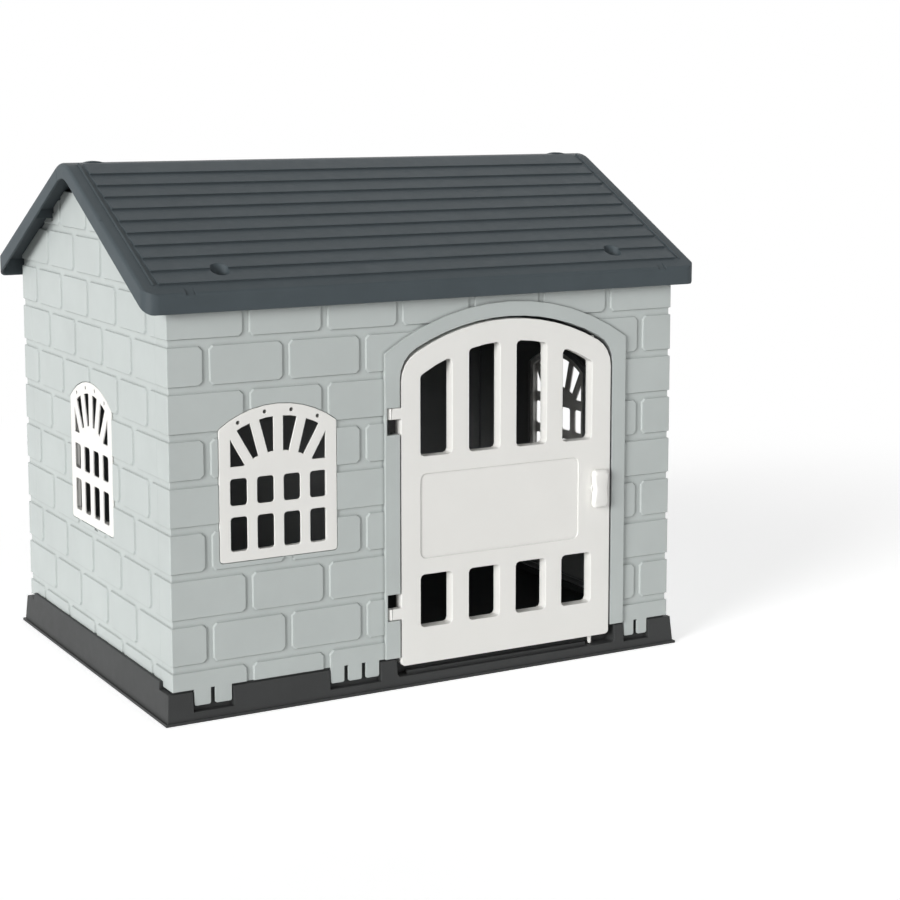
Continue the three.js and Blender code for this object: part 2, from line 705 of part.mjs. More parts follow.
/** A gable panel in its own frame: x across, face at depth 0, tongues behind the corners. */
function gableWall() {
  const half = halfDepth - returnDepth - fitGap;
  const rake = (y) => roofUnderside(y) - roofClearance;
  const topHalf = (rake(0) - gableTruncation) / slopeTan;
  const outline = (grow, low, drop) => [
    [-half - grow, low],
    [half + grow, low],
    [half + grow, rake(half + grow) - drop],
    [topHalf, rake(topHalf) - drop],
    [-topHalf, rake(topHalf) - drop],
    [-half - grow, rake(half + grow) - drop],
  ];
  const face = prism("y", outline(0, baseHeight, 0), 0, wallThickness);
  const flangeOuter = prism("y", outline(0, baseHeight, 0), wallThickness - 1, panelDepth);
  const drop = flangeWall / slopeCos;
  const flangeInner = prism(
    "y",
    outline(0, baseHeight + flangeWall, drop),
    wallThickness - 2,
    panelDepth + 1,
  );
  const sideCut = [-1, 1].map((side) => {
    const edge = side * (half - tongueWidth);
    const far = side * (half + 1);
    return box(Math.min(edge, far), Math.max(edge, far), wallThickness + tongueThickness + fitGap,
      panelDepth + 1, baseHeight - 1, ridgeHeight);
  });
  const flanges = cut(flangeOuter, [flangeInner, ...sideCut]);
  const tongueBack = wallThickness + fitGap + tongueThickness;
  const tongueTop = rake(half + tongueWidth) - 4;
  const tongues = [-1, 1].flatMap((side) => {
    const root = side * (half - 10);
    const edge = side * half;
    const tip = side * (half + tongueWidth);
    const foot = baseHeight + flangeWall + slideGap;
    return [
      box(Math.min(root, edge), Math.max(root, edge), wallThickness - 1, tongueBack, foot, tongueTop),
      box(Math.min(root, tip), Math.max(root, tip), wallThickness + fitGap, tongueBack, foot, tongueTop),
    ];
  });
  const screwHoles = [-1, 1].flatMap((side) =>
    wallScrewCourses.map((course) => {
      const bore = circle(side * (halfDepth - cornerScrewDepth), courseMiddle(course),
        wallScrewShank + fitGap, 10);
      return prism("y", bore, wallThickness - 1, tongueBack + 1);
    }),
  );
  const ribNotches = [-1, 1].flatMap((side) => {
    const x = side * roofRibOffset;
    const top = rake(roofRibOffset) + ribNotchWidth;
    return [
      [ribNotchWidth, ribNotchDepth],
      [ribSlotWidth, ribSlotDepth],
    ].map(([width, depth]) =>
      box(x - width / 2, x + width / 2, -1, panelDepth + 1, rake(roofRibOffset) - depth, top),
    );
  });
  const seat = windowSeat(0);
  const joints = mortar(-half, half, baseHeight, gableTruncation + 10, false, true, true);
  const blank = joined([face, flanges, ...tongues, ...seat.added]).subtract(joints);
  return cut(blank, [...seat.removed, ...ribNotches, ...screwHoles]);
}

// ---------------------------------------------------------------- base tray

/** The plan of the skirt at a height, drawn in by an inset; it spreads toward the ground. */
function skirtPlan(height, inset) {
  const spread = 1 - height / baseHeight;
  const x = halfLength + skirtOverhang + gableDraft * spread - inset;
  const y = halfDepth + frontDraft * spread - inset;
  return rectangle(-x, x, -y, y);
}

function baseTray() {
  const skirtX = halfLength + skirtOverhang;
  const skirtY = halfDepth;
  const seat = baseHeight - fitGap;
  const flange = box(-halfLength - flangeOverhang, halfLength + flangeOverhang,
    -halfDepth - flangeLip, halfDepth + flangeLip, 0, flangeThickness);
  const block = loft("z", [
    { at: 0, outline: skirtPlan(0, 0) },
    { at: seat, outline: skirtPlan(seat, 0) },
  ]);
  const lipEnd = halfDepth - gableLipEndInset;
  const lipTop = baseHeight + gableLipHeight;
  const lips = [-1, 1].map((side) => {
    const outline = [
      [halfLength + 0.6, baseHeight - 8],
      [skirtPlan(baseHeight - 8, 0)[2][0], baseHeight - 8],
      [skirtPlan(lipTop, 0)[2][0], lipTop],
      [halfLength + 0.6, lipTop],
    ].map(([x, z]) => [side * x, z]);
    return prism("y", side > 0 ? outline : outline.reverse(), -lipEnd, lipEnd);
  });
  const rebate = box(-skirtX - gableDraft - 1, skirtX + gableDraft + 1, -skirtY - frontDraft - 1,
    skirtY + frontDraft + 1, baseHeight - rimRebateDepth, lipTop + 1)
    .subtract(box(-halfLength + rimRebateWidth, halfLength - rimRebateWidth, -skirtY + rimRebateWidth,
      skirtY - rimRebateWidth, 0, lipTop + 2))
    .subtract(box(-skirtX - gableDraft - 2, skirtX + gableDraft + 2, -lipEnd, lipEnd, 0, lipTop + 2));
  const floorX = halfLength - rimWidth;
  const floorY = skirtY - rimWidth;
  const floorTop = baseHeight - floorDrop;
  const well = box(-floorX, floorX, -floorY, floorY, floorTop, baseHeight + 1);

  const hollowX = skirtX - skirtThickness;
  const hollowY = skirtY - skirtThickness;
  const rimRoof = seat - floorThickness - rimRebateDepth;
  const underRim = loft("z", [
    { at: -1, outline: skirtPlan(-1, skirtThickness) },
    { at: rimRoof, outline: skirtPlan(rimRoof, skirtThickness) },
  ]);
  const underFloor = box(-floorX - floorThickness, floorX + floorThickness,
    -floorY - floorThickness, floorY + floorThickness, floorTop - floorThickness, baseHeight);
  const ribs = [];
  for (let i = 1; i <= floorRibCountX; i += 1) {
    const x = -hollowX + (2 * hollowX * i) / (floorRibCountX + 1);
    ribs.push(box(x - floorRibThickness / 2, x + floorRibThickness / 2, -2 * hollowY, 2 * hollowY,
      flangeThickness, baseHeight));
  }
  for (let i = 1; i <= floorRibCountY; i += 1) {
    const y = -hollowY + (2 * hollowY * i) / (floorRibCountY + 1);
    ribs.push(box(-2 * hollowX, 2 * hollowX, y - floorRibThickness / 2, y + floorRibThickness / 2,
      flangeThickness, baseHeight));
  }

  const notches = [];
  const housings = [];
  tabGroups.forEach(({ left, width }) => {
    const x0 = left - halfLength - tabSideGap;
    const x1 = x0 + width + 2 * tabSideGap;
    [-1, 1].forEach((side) => {
      const [a, b] = side < 0 ? [x0, x1] : [-x1, -x0];
      const depths = (low, high) =>
        side < 0 ? [-skirtY + low, -skirtY + high] : [skirtY - high, skirtY - low];
      notches.push(box(a, b, ...depths(-10, tabNotchReach), baseHeight - tabNotchDepth, baseHeight + 5));
      housings.push(box(a - 3, b + 3, ...depths(-10, tabNotchReach + skirtThickness),
        baseHeight - tabNotchDepth - 3, baseHeight));
    });
  });

  const sillLeft = openingCentre - openingWidth / 2 - 4;
  const sillRight = openingCentre + openingWidth / 2 + 9;
  const sillBack = doorBack + 3;
  const sillTop = baseHeight - sillDrop;
  const sillOutline = rounded(rectangle(sillLeft, sillRight, sillTop, baseHeight + 3 * sillCorner),
    sillCorner, 3);
  const ridge = box(sillLeft + sillRidgeInset, latchX - 10, -skirtY + sillRidgeFront,
    -skirtY + sillRidgeFront + sillRidgeWidth, sillTop - 1, sillTop + sillRidgeHeight);
  const sill = prism("y", sillOutline, -skirtY - 10, -skirtY + sillBack).subtract(ridge);
  const sillBody = box(sillLeft - 3, sillRight + 3, -skirtY - 10, -skirtY + sillBack + 3,
    sillTop - floorThickness, baseHeight);
  const rodHole = prism("z", circle(latchX, -skirtY + rodDepth, rodEndRadius + rodHoleGap, 12),
    sillTop - 2 * floorThickness, sillTop + 1);

  const cavity = cut(underRim, [underFloor, ...ribs, ...housings, sillBody]);
  return cut(joined([flange, block, ...lips]), [well, cavity, rebate, ...notches, sill, rodHole]);
}

// ---------------------------------------------------------------- roof halves

const ridgeSteps = 5;
const edgeSteps = 3;
const fasciaInset = (inset) => (inset > 0 ? fasciaThickness : 0);

/** The outer cross-section with its top lowered, for the rounded edge over the gable ends. */
function loweredSection(drop, foot) {
  return roofSection(0, foot).map(([y, z]) => [y, z > foot ? z - drop / slopeCos : z]);
}

/** The roof's convex cross-section in y and z, drawn in by an even inset above and at the eaves. */
function roofSection(inset, foot, edge = roofEdge) {
  const reach = roofHalfDepth - fasciaInset(inset);
  const slope = THREE.MathUtils.degToRad(roofSlope);
  const drop = inset / slopeCos;
  const radius = ridgeRadius - inset;
  const centre = ridgeHeight - ridgeRadius / slopeCos;
  const half = [];
  for (let i = 0; i <= ridgeSteps; i += 1) {
    const angle = (slope * i) / ridgeSteps;
    half.push([radius * Math.sin(angle), centre + radius * Math.cos(angle)]);
  }
  // The eave edge turns from the slope to the vertical fascia.
  const turn = Math.PI / 2 - slope;
  const setback = edge * Math.tan(turn / 2);
  const edgeCentre = [reach - edge, roofTop(reach) - drop - setback];
  for (let i = 0; i <= edgeSteps; i += 1) {
    const angle = slope + (turn * i) / edgeSteps;
    half.push([edgeCentre[0] + edge * Math.sin(angle), edgeCentre[1] + edge * Math.cos(angle)]);
  }
  half.push([reach, foot]);
  return [...half.map(([y, z]) => [-y, z]).reverse(), ...half.slice(1)].reverse();
}

/** Both slopes in one piece, hollow below, before it is parted at the ridge. */
function roofShell() {
  const plan = (inset) => rectangle(
    -roofHalfLength + inset,
    roofHalfLength - inset,
    -roofHalfDepth + inset,
    roofHalfDepth - inset,
  );
  const foot = eaveHeight - eaveFascia;
  const edge = [0, 30, 60, 90].map((turn) => {
    const angle = THREE.MathUtils.degToRad(turn);
    const drop = roofEdge * (1 - Math.cos(angle));
    return { at: roofHalfLength - roofEdge * (1 - Math.sin(angle)), outline: loweredSection(drop, foot) };
  });
  const mirrored = edge.map(({ at, outline }) => ({ at: -at, outline })).reverse();
  const outer = loft("x", [...mirrored, ...edge]).intersect(
    prism("z", rounded(plan(0), roofCorner, 5), 0, 2 * ridgeHeight),
  );
  const inner = prism("x", roofSection(roofPlate, 0, 1), -roofHalfLength, roofHalfLength).intersect(
    prism("z", rounded(plan(fasciaThickness), roofCorner - fasciaThickness, 5), 0, 2 * ridgeHeight),
  );

  // The fascia of each end rises with the slope from the foot of the eave fascia.
  const eaveInside = roofHalfDepth - fasciaThickness;
  const rakeApex = ridgeHeight - rakeFascia;
  const slope = Math.atan((rakeApex - foot) / eaveInside);
  const centre = rakeApex - rakeRidgeRadius / Math.cos(slope);
  const crown = [-3, -2, -1, 0, 1, 2, 3].map((i) => {
    const angle = (-slope * i) / 3;
    return [rakeRidgeRadius * Math.sin(angle), centre + rakeRidgeRadius * Math.cos(angle)];
  });
  const under = [[-eaveInside, 0], [eaveInside, 0], [eaveInside, foot], ...crown, [-eaveInside, foot]];
  const below = prism("x", under, -roofHalfLength - 1, roofHalfLength + 1);
  const trims = [-1, 1].map((hand) => {
    const ends = [hand * (roofHalfLength - roofCorner), hand * (roofHalfLength + 1)];
    return below.intersect(box(Math.min(...ends), Math.max(...ends), -roofHalfDepth, roofHalfDepth, 0,
      ridgeHeight));
  });
  return cut(outer, [inner, ...trims]);
}

/** A point on a slope: s up from the eave edge, h above the top plane. */
function onSlope(side, s, h) {
  const y = roofHalfDepth - s * slopeCos + h * Math.sin(THREE.MathUtils.degToRad(roofSlope));
  return [side * y, roofTop(roofHalfDepth - s * slopeCos) + h * slopeCos];
}

/** The lapped planks and the beads beside them on one slope. */
function planks(side) {
  const end = roofHalfLength - plankEndInset;
  const wedges = [];
  for (let i = 0; i < plankCount; i += 1) {
    const s = plankStart + i * plankPitch;
    const outline = [
      onSlope(side, s, -1),
      onSlope(side, s, plankStep),
      onSlope(side, s + plankPitch, 0),
      onSlope(side, s + plankPitch, -1),
    ];
    wedges.push(prism("x", side > 0 ? outline : outline.reverse(), -end, end));
  }
  const top = plankStart + plankCount * plankPitch;
  const bead = [
    onSlope(side, plankStart, -1),
    onSlope(side, plankStart, rakeBeadHeight),
    onSlope(side, top, rakeBeadHeight),
    onSlope(side, top, -1),
  ];
  const beads = [-1, 1].map((hand) => {
    const x = hand * (roofHalfLength - rakeBeadInset);
    return prism("x", side > 0 ? bead : bead.reverse(), x - rakeBeadWidth / 2, x + rakeBeadWidth / 2);
  });
  return [...wedges, ...beads];
}

/** The screw pockets, the roof rib and the drip notches of one slope. */
function slopeFeatures(side) {
  const added = [];
  const removed = [];
  [-1, 1].forEach((hand) => {
    const [x, y] = [hand * pocketX, side * pocketY];
    const outline = circle(x, y, pocketRadius + pocketWall, 20);
    const slopeTop = prism("x", [[0, 0], [roofHalfDepth, 0], [roofHalfDepth, roofTop(roofHalfDepth) - 1],
      [0, roofTop(0) - 1]].map(([a, b]) => [side * a, b]), x - 2 * pocketRadius, x + 2 * pocketRadius);
    const wall = prism("z", outline, pocketFloor - pocketWall, ridgeHeight).intersect(slopeTop);
    added.push(wall);
    removed.push(prism("z", circle(x, y, pocketRadius, 20), pocketFloor, ridgeHeight));
    removed.push(prism("z", circle(x, y, roofScrewShank + 2 * fitGap, 10), 0, ridgeHeight));
    const notchX = hand * (roofHalfLength - dripNotchFromEnd);
    const reach = dripNotchSize / 2;
    const z = eaveHeight;
    const notch = [
      [side * (roofHalfDepth + 2), z - reach * 0.7],
      [side * (roofHalfDepth + 2), z + 2 * reach],
      [side * (roofHalfDepth - 2 * reach), z + 2 * reach],
      [side * (roofHalfDepth - 2 * reach), z + 2 * reach * slopeTan],
    ];
    removed.push(prism("x", side > 0 ? notch.reverse() : notch, notchX - reach, notchX + reach));
  });
  const inside = roofHalfLength - fasciaThickness / 2;
  const under = roofUnderside(roofRibOffset);
  const ribY = [side * (roofRibOffset - 1.5), side * (roofRibOffset + 1.5)].sort((a, b) => a - b);
  added.push(box(-inside, inside, ...ribY, under - roofRibDepth, under + 2));
  return { added, removed };
}

/** A strip that follows the top of the rear slope over the ridge, between two depths below it. */
function ridgeStrip(from, to, shallow, deep) {
  const centre = ridgeHeight - ridgeRadius / slopeCos;
  const stations = [0, 0.25, 0.5, 0.75, 1].map((share) => from + (to - from) * share);
  const at = (y, depth) => {
    const angle = Math.min(Math.asin(y / ridgeRadius), THREE.MathUtils.degToRad(roofSlope));
    const radius = ridgeRadius - depth;
    const past = Math.max(y - ridgeRadius * slopeSin, 0);
    return [radius * Math.sin(angle) + past, centre + radius * Math.cos(angle) - past * slopeTan];
  };
  return [
    ...stations.map((y) => at(y, deep)),
    ...stations.toReversed().map((y) => at(y, shallow)),
  ];
}

/** The space on the front or rear side of the seam, which lies square to the rear slope. */
function seamSide(rear) {
  const far = roofHalfDepth + 50;
  const high = 2 * ridgeHeight;
  const at = (rise) => {
    const y = ridgeLap + (rear ? fitGap : 0);
    return [y + rise * slopeSin, roofTop(ridgeLap) + rise * slopeCos];
  };
  const [low, up] = [at(-10), at(20)];
  const outline = rear
    ? [[low[0], 0], [far, 0], [far, high], [up[0], high], up, low]
    : [[-far, 0], [low[0], 0], low, up, [up[0], high], [-far, high]];
  return prism("x", outline, -roofHalfLength - 1, roofHalfLength + 1);
}

/** The raised pads on the ridge near its ends. */
function ridgePads() {
  const top = ridgeHeight - ridgeRadius * (1 / slopeCos - 1);
  const reach = ridgePadWidth / 2;
  const radius = (reach ** 2 + ridgePadHeight ** 2) / (2 * ridgePadHeight);
  return [-1, 1].map((hand) => {
    const x = hand * (roofHalfLength - ridgePadFromEnd);
    const outline = arched(x - reach, x + reach, top - 2, x, top + ridgePadHeight, radius, 8);
    return prism("y", outline, -reach / 2, reach / 2);
  });
}

function roofHalf(rear) {
  const side = rear ? 1 : -1;
  const features = slopeFeatures(side);
  const extras = rear ? [] : ridgePads();
  const whole = joined([roofShell(), ...planks(side), ...features.added, ...extras]);
  const half = whole.intersect(seamSide(rear));
  if (!rear) return cut(half, features.removed);
  // A tongue of the rear half lies under the front half at the ridge.
  const depth = roofPlate + fitGap;
  const inside = roofHalfLength - fasciaThickness - slideGap;
  const tongue = [
    ridgeStrip(ridgeLap - tongueReach, ridgeLap + 12, depth, depth + roofPlate),
    ridgeStrip(ridgeLap + 1, ridgeLap + 12, 1, depth + 1),
  ].map((outline) => prism("x", outline, -inside, inside));
  return cut(joined([half, ...tongue]), features.removed);
}

// ---------------------------------------------------------------- door

function doorOutline(inset) {
  const outline = archedRound(
    doorLeft + inset,
    doorRight - inset,
    doorFoot + inset,
    openingCentre,
    doorCrown - inset,
    doorArchRadius - inset,
    doorTopCorner - inset,
    12,
  );
  return rounded(outline, doorFootCorner - inset, 4);
}

/** The outlines of the eight slots, larger by grow all round. */
function doorSlots(grow) {
  const slots = [];
  for (let i = 0; i < slotCount; i += 1) {
    const left = doorLeft + firstSlotInset + i * slotPitch - grow;
    const right = left + slotWidth + 2 * grow;
    const corner = slotCorner + grow;
    const lower = doorFoot + lowerSlotFoot - grow;
    const lowerTop = doorFoot + lowerSlotFoot + lowerSlotHeight + grow;
    slots.push(rounded(rectangle(left, right, lower, lowerTop), corner, 2));
    const upper = arched(left, right, doorFoot + upperSlotFoot - grow, openingCentre,
      doorCrown - slotArchInset + grow, doorArchRadius - slotArchInset + grow, 2);
    slots.push(rounded(upper, corner, 2));
  }
  return slots;
}

function doorPanel() {
  const slab = prism("y", doorOutline(0), doorFace, doorBack);
  const hollow = prism("y", doorOutline(doorRim), doorFace + doorSkin, doorBack + 1);
  const slotRims = doorSlots(doorRim).map((o) => prism("y", o, doorFace + doorSkin - 1, doorBack + 2));
  const slotHoles = doorSlots(0).map((o) => prism("y", o, doorFace - 1, doorBack + 3));
  const fieldOutline = rectangle(
    doorLeft + firstSlotInset,
    doorRight - fieldRightInset,
    doorFoot + fieldFoot,
    doorFoot + fieldFoot + fieldHeight,
  );
  const field = prism("y", rounded(fieldOutline, fieldCorner, 3), doorFace - 1, doorFace + fieldDepth);
  const shell = cut(slab, [hollow.subtract(joined(slotRims))]);

  // Ribs across the latch stile guide the rods.
  const stileLeft = doorLeft + firstSlotInset + (slotCount - 1) * slotPitch + slotWidth + doorRim / 2;
  const stileRight = doorRight - doorRim / 2;
  const guideHeights = [doorFoot + 24, latchZ - 60, latchZ + 60, doorFoot + upperSlotFoot + 40];
  const guides = guideHeights.map((z) =>
    box(stileLeft, stileRight, doorFace + doorSkin - 0.5, doorBack, z, z + guideThickness),
  );

  // Hinge lugs stand out of the left edge.
  const lugs = [baseHeight + upperLugTop - lugHeight, baseHeight + lowerLugFoot].flatMap((foot) => [
    prism("z", circle(hingeX, hingeDepth, lugRadius, 16), foot, foot + lugHeight),
    box(hingeX, doorLeft + doorRim, doorFace, hingeDepth + lugRadius, foot, foot + lugHeight),
  ]);
  const pinBores = [baseHeight + upperLugTop - lugHeight, baseHeight + lowerLugFoot].map((foot) =>
    prism("z", circle(hingeX, hingeDepth, hingePinRadius + fitGap, 16), foot - 1, foot + lugHeight + 1),
  );

  const rodChannel = circle(latchX, rodDepth, rodEndRadius + rodHoleGap, 12);
  const rodBores = [
    prism("z", rodChannel, doorFoot - 5, doorFoot + 40),
    prism("z", rodChannel, doorFoot + upperSlotFoot + 20, doorCrown + 5),
  ];
  const barChannel = (z) =>
    box(latchX - rodWidth / 2 - fitGap, latchX + rodWidth / 2 + fitGap, rodFront - fitGap,
      rodFront + rodThickness + fitGap, z - 1, z + guideThickness + 1);
  const spindleBore = prism("y", circle(latchX, latchZ, spindleRadius + fitGap, 16), doorFace - 1,
    doorFace + doorSkin + 1);
  return cut(joined([shell, ...guides, ...lugs]), [
    ...slotHoles,
    field,
    ...pinBores,
    ...rodBores,
    ...guideHeights.slice(1, 3).map(barChannel),
    spindleBore,
  ]);
}

/** A hinge pin: pressed in the door's lug, it turns in the wall's socket. */
function hingePin(upper) {
  const lugFoot = baseHeight + (upper ? upperLugTop - lugHeight : lowerLugFoot);
  const low = upper ? lugFoot + 1 : lugFoot - hingePinSocket;
  const high = upper ? lugFoot + lugHeight + hingePinSocket : lugFoot + lugHeight - 1;
  return prism("z", circle(hingeX, hingeDepth, hingePinRadius, 16), low, high);
}

// ---------------------------------------------------------------- latch

/** The grip, waisted in the middle, on a spindle through the door's face. */
function latchGrip() {
  const half = gripLength / 2;
  const gripX = latchX + gripOffset;
  const sides = [
    [-half, gripWidth / 2 - 5],
    [-half + 2, gripWidth / 2 - 2],
    [-half + 6, gripWidth / 2],
    [-half / 3, (gripWidth + gripWaist) / 4],
    [0, gripWaist / 2],
    [half / 3, (gripWidth + gripWaist) / 4],
    [half - 6, gripWidth / 2],
    [half - 2, gripWidth / 2 - 2],
    [half, gripWidth / 2 - 5],
  ];
  const outline = (inset) => [
    ...sides.map(([z, x]) => [gripX + x - inset, latchZ + z * (1 - inset / half)]),
    ...sides.toReversed().map(([z, x]) => [gripX - x + inset, latchZ + z * (1 - inset / half)]),
  ];
  const body = loft("y", [
    { at: gripTop, outline: outline(4) },
    { at: gripTop + 1.3, outline: outline(1.5) },
    { at: gripTop + 3.5, outline: outline(0) },
    { at: doorFace - gripLift, outline: outline(0) },
  ]);
  const hub = prism("y", circle(latchX, latchZ, gripHubRadius, 20), doorFace - gripLift - 1,
    doorFace - slideGap / 2);
  const spindle = prism("y", circle(latchX, latchZ, spindleRadius, 16), doorFace - 2, camFront - fitGap);
  const flat = spindleSquare / 2;
  const square = prism("y", rectangle(latchX - flat, latchX + flat, latchZ - flat, latchZ + flat),
    doorFace, camFront + camThickness);
  return joined([body, hub, spindle, square]);
}

/** The cam behind the door: two spiral slots drive the rods out as the grip turns. */
function latchCam() {
  const disc = prism("y", circle(latchX, latchZ, camRadius, 32), camFront, camFront + camThickness);
  const half = spindleSquare / 2 + fitGap;
  const hub = prism("y", rectangle(latchX - half, latchX + half, latchZ - half, latchZ + half),
    camFront - 1, camFront + camThickness + 1);
  const steps = 9;
  const slots = [0, Math.PI].flatMap((start) => {
    const at = (share, out) => {
      const angle = start + ((1 - share) * Math.PI) / 2;
      const radius = camStart + latchTravel * share + out;
      return [latchX + radius * Math.cos(angle), latchZ + radius * Math.sin(angle)];
    };
    const reach = rodPegRadius + pegGap;
    const shares = Array.from({ length: steps + 1 }, (_, i) => i / steps);
    const spiral = [
      ...shares.map((share) => at(share, -reach)),
      ...shares.toReversed().map((share) => at(share, reach)),
    ];
    const ends = [0, 1].map((share) => circle(...at(share, 0), reach, 12));
    return [spiral, ...ends].map((o) => prism("y", o, camFront - 1, camFront + camThickness + 1));
  });
  return cut(disc, [hub, ...slots]);
}

/** A latch rod: a flat bar with a peg in the cam and a round end that bolts the door. */
function latchRod(upper) {
  const side = upper ? 1 : -1;
  const span = (a, b) => [Math.min(latchZ + side * a, latchZ + side * b), Math.max(latchZ + side * a,
    latchZ + side * b)];
  const archAtLatch = openingArchAt(latchX + rodEndRadius);
  const tip = upper ? archAtLatch - 1.5 - latchZ : latchZ - (baseHeight - sillDrop) - 0.8;
  const bar = box(latchX - rodWidth / 2, latchX + rodWidth / 2, rodFront, rodFront + rodThickness,
    ...span(camStart - rodPegRadius, rodBarEnd));
  const round = prism("z", circle(latchX, rodDepth, rodEndRadius, 12), ...span(rodBarEnd - 4, tip));
  const peg = prism("y", circle(latchX, latchZ + side * camStart, rodPegRadius, 10),
    camFront + 1, rodFront + 1);
  return joined([bar, round, peg]);
}

/** Height of the opening's arch at x. */
function openingArchAt(x) {
  const across = x - openingCentre;
  return openingCrown - openingArchRadius + Math.sqrt(openingArchRadius ** 2 - across ** 2);
}

// ---------------------------------------------------------------- screws

/** A pan-head screw along -Z with its head's underside at z = 0. */
function screw(head, headHeight, shank, length) {
  const top = prism("z", circle(0, 0, head, 12), 0, headHeight * 0.6);
  const crown = prism("z", circle(0, 0, head * 0.75, 12), 0, headHeight);
  const driver = [
    box(-head * 0.55, head * 0.55, -0.5, 0.5, headHeight * 0.5, headHeight + 1),
    box(-0.5, 0.5, -head * 0.55, head * 0.55, headHeight * 0.5, headHeight + 1),
  ];
  const body = prism("z", circle(0, 0, shank, 10), -length, 1);
  return cut(joined([top, crown, body]), driver);
}

// ---------------------------------------------------------------- materials

const finishes = {
  wall: new THREE.MeshStandardMaterial({ color: 0xc0c8c6, roughness: 0.55, metalness: 0 }),
  roof: new THREE.MeshStandardMaterial({ color: 0x4a5459, roughness: 0.5, metalness: 0 }),
  base: new THREE.MeshStandardMaterial({ color: 0x454545, roughness: 0.6, metalness: 0 }),
  white: new THREE.MeshStandardMaterial({ color: 0xe6e5df, roughness: 0.45, metalness: 0 }),
  steel: new THREE.MeshStandardMaterial({ color: 0xb4b6b8, roughness: 0.35, metalness: 1 }),
};

// ---------------------------------------------------------------- assembly

const house = new THREE.Group();

/** Adds a named piece to a group. */
function place(group, name, body, finish) {
  const mesh = new THREE.Mesh(geometryOf(body), finishes[finish]);
  mesh.name = name;
  group.add(mesh);
  return mesh;
}

/** A group whose own +Y points into the house from the middle of one wall. */
function wallFrame(turn, distance) {
  const frame = new THREE.Group();
  frame.rotation.z = turn;
  frame.position.set(Math.sin(turn) * distance, -Math.cos(turn) * distance, 0);
  house.add(frame);
  return frame;
}

const front = wallFrame(0, halfDepth);
const right = wallFrame(Math.PI / 2, halfLength);
const rear = wallFrame(Math.PI, halfDepth);
const left = wallFrame(-Math.PI / 2, halfLength);

place(house, "base_tray", baseTray(), "base");

const frontWindowX = frontWindowLeft + windowWidth / 2 - halfLength;
const entrance = doorway();
place(front, "front_panel", longWall([entrance, windowSeat(frontWindowX)], entrance.outline), "wall");
place(rear, "rear_panel", longWall([], null), "wall");
place(left, "left_gable_panel", gableWall(), "wall");
place(right, "right_gable_panel", gableWall(), "wall");

place(front, "front_window_grille", windowGrille(frontWindowX), "white");
place(left, "left_window_grille", windowGrille(0), "white");
place(right, "right_window_grille", windowGrille(0), "white");

place(house, "roof_front_half", roofHalf(false), "roof");
place(house, "roof_rear_half", roofHalf(true), "roof");

place(front, "door_panel", doorPanel(), "white");
place(front, "upper_hinge_pin", hingePin(true), "steel");
place(front, "lower_hinge_pin", hingePin(false), "steel");
place(front, "latch_grip", latchGrip(), "white");
place(front, "latch_cam", latchCam(), "white");
place(front, "upper_latch_rod", latchRod(true), "white");
place(front, "lower_latch_rod", latchRod(false), "white");

for (const [name, side, hand] of [
  ["front_left", -1, -1],
  ["front_right", -1, 1],
  ["rear_left", 1, -1],
  ["rear_right", 1, 1],
]) {
  const body = screw(roofScrewHead, roofScrewHeadHeight, roofScrewShank, roofScrewLength);
  const mesh = place(house, `roof_screw_${name}`, body, "steel");
  mesh.position.set(hand * pocketX, side * pocketY, pocketFloor + fitGap);
}

for (const [wall, frame] of [
  ["left", left],
  ["right", right],
]) {
  wallScrewCourses.forEach((course, level) => {
    for (const side of [-1, 1]) {
      const body = screw(wallScrewHead, wallScrewHeadHeight, wallScrewShank, wallScrewLength);
      const corner = (side < 0) === (wall === "right") ? "front" : "rear";
      const height = level === 0 ? "low" : "high";
      const mesh = place(frame, `wall_screw_${wall}_${corner}_${height}`, body, "steel");
      mesh.rotation.x = -Math.PI / 2;
      mesh.position.set(
        side * (halfDepth - cornerScrewDepth),
        cornerScrewSeat,
        courseMiddle(course),
      );
    }
  });
}

export default house;
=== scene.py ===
"""A moulded plastic dog house, dressed for a studio picture.

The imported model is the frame. Every moulded piece is taken from it, its edges are
rounded as a mould leaves them, and each finish is a procedural material.
"""

from __future__ import annotations

import json
import logging
import math
from dataclasses import dataclass, field
from enum import Enum

import bmesh
import bpy
from mathutils import Euler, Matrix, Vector
from mathutils.bvhtree import BVHTree

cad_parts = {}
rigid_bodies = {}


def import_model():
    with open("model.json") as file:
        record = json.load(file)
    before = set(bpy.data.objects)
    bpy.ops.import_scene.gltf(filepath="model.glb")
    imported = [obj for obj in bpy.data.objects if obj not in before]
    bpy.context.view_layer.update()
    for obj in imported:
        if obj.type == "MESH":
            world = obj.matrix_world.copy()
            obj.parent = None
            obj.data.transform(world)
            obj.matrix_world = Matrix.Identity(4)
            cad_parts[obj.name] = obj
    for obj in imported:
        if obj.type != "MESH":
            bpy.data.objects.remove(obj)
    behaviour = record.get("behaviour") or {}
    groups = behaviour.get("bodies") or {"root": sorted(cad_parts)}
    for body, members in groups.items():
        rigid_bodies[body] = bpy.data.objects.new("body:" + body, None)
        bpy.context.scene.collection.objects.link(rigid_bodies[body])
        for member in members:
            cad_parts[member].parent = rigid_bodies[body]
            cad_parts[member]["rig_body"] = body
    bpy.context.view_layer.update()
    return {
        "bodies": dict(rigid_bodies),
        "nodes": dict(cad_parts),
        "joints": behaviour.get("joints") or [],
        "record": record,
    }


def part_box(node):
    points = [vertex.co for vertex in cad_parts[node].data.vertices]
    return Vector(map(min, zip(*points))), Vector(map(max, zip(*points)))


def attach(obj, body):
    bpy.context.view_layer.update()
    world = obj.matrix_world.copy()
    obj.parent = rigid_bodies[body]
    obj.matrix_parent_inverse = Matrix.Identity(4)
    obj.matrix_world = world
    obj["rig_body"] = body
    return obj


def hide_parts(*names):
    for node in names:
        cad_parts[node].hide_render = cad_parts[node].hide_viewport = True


MM = 0.001
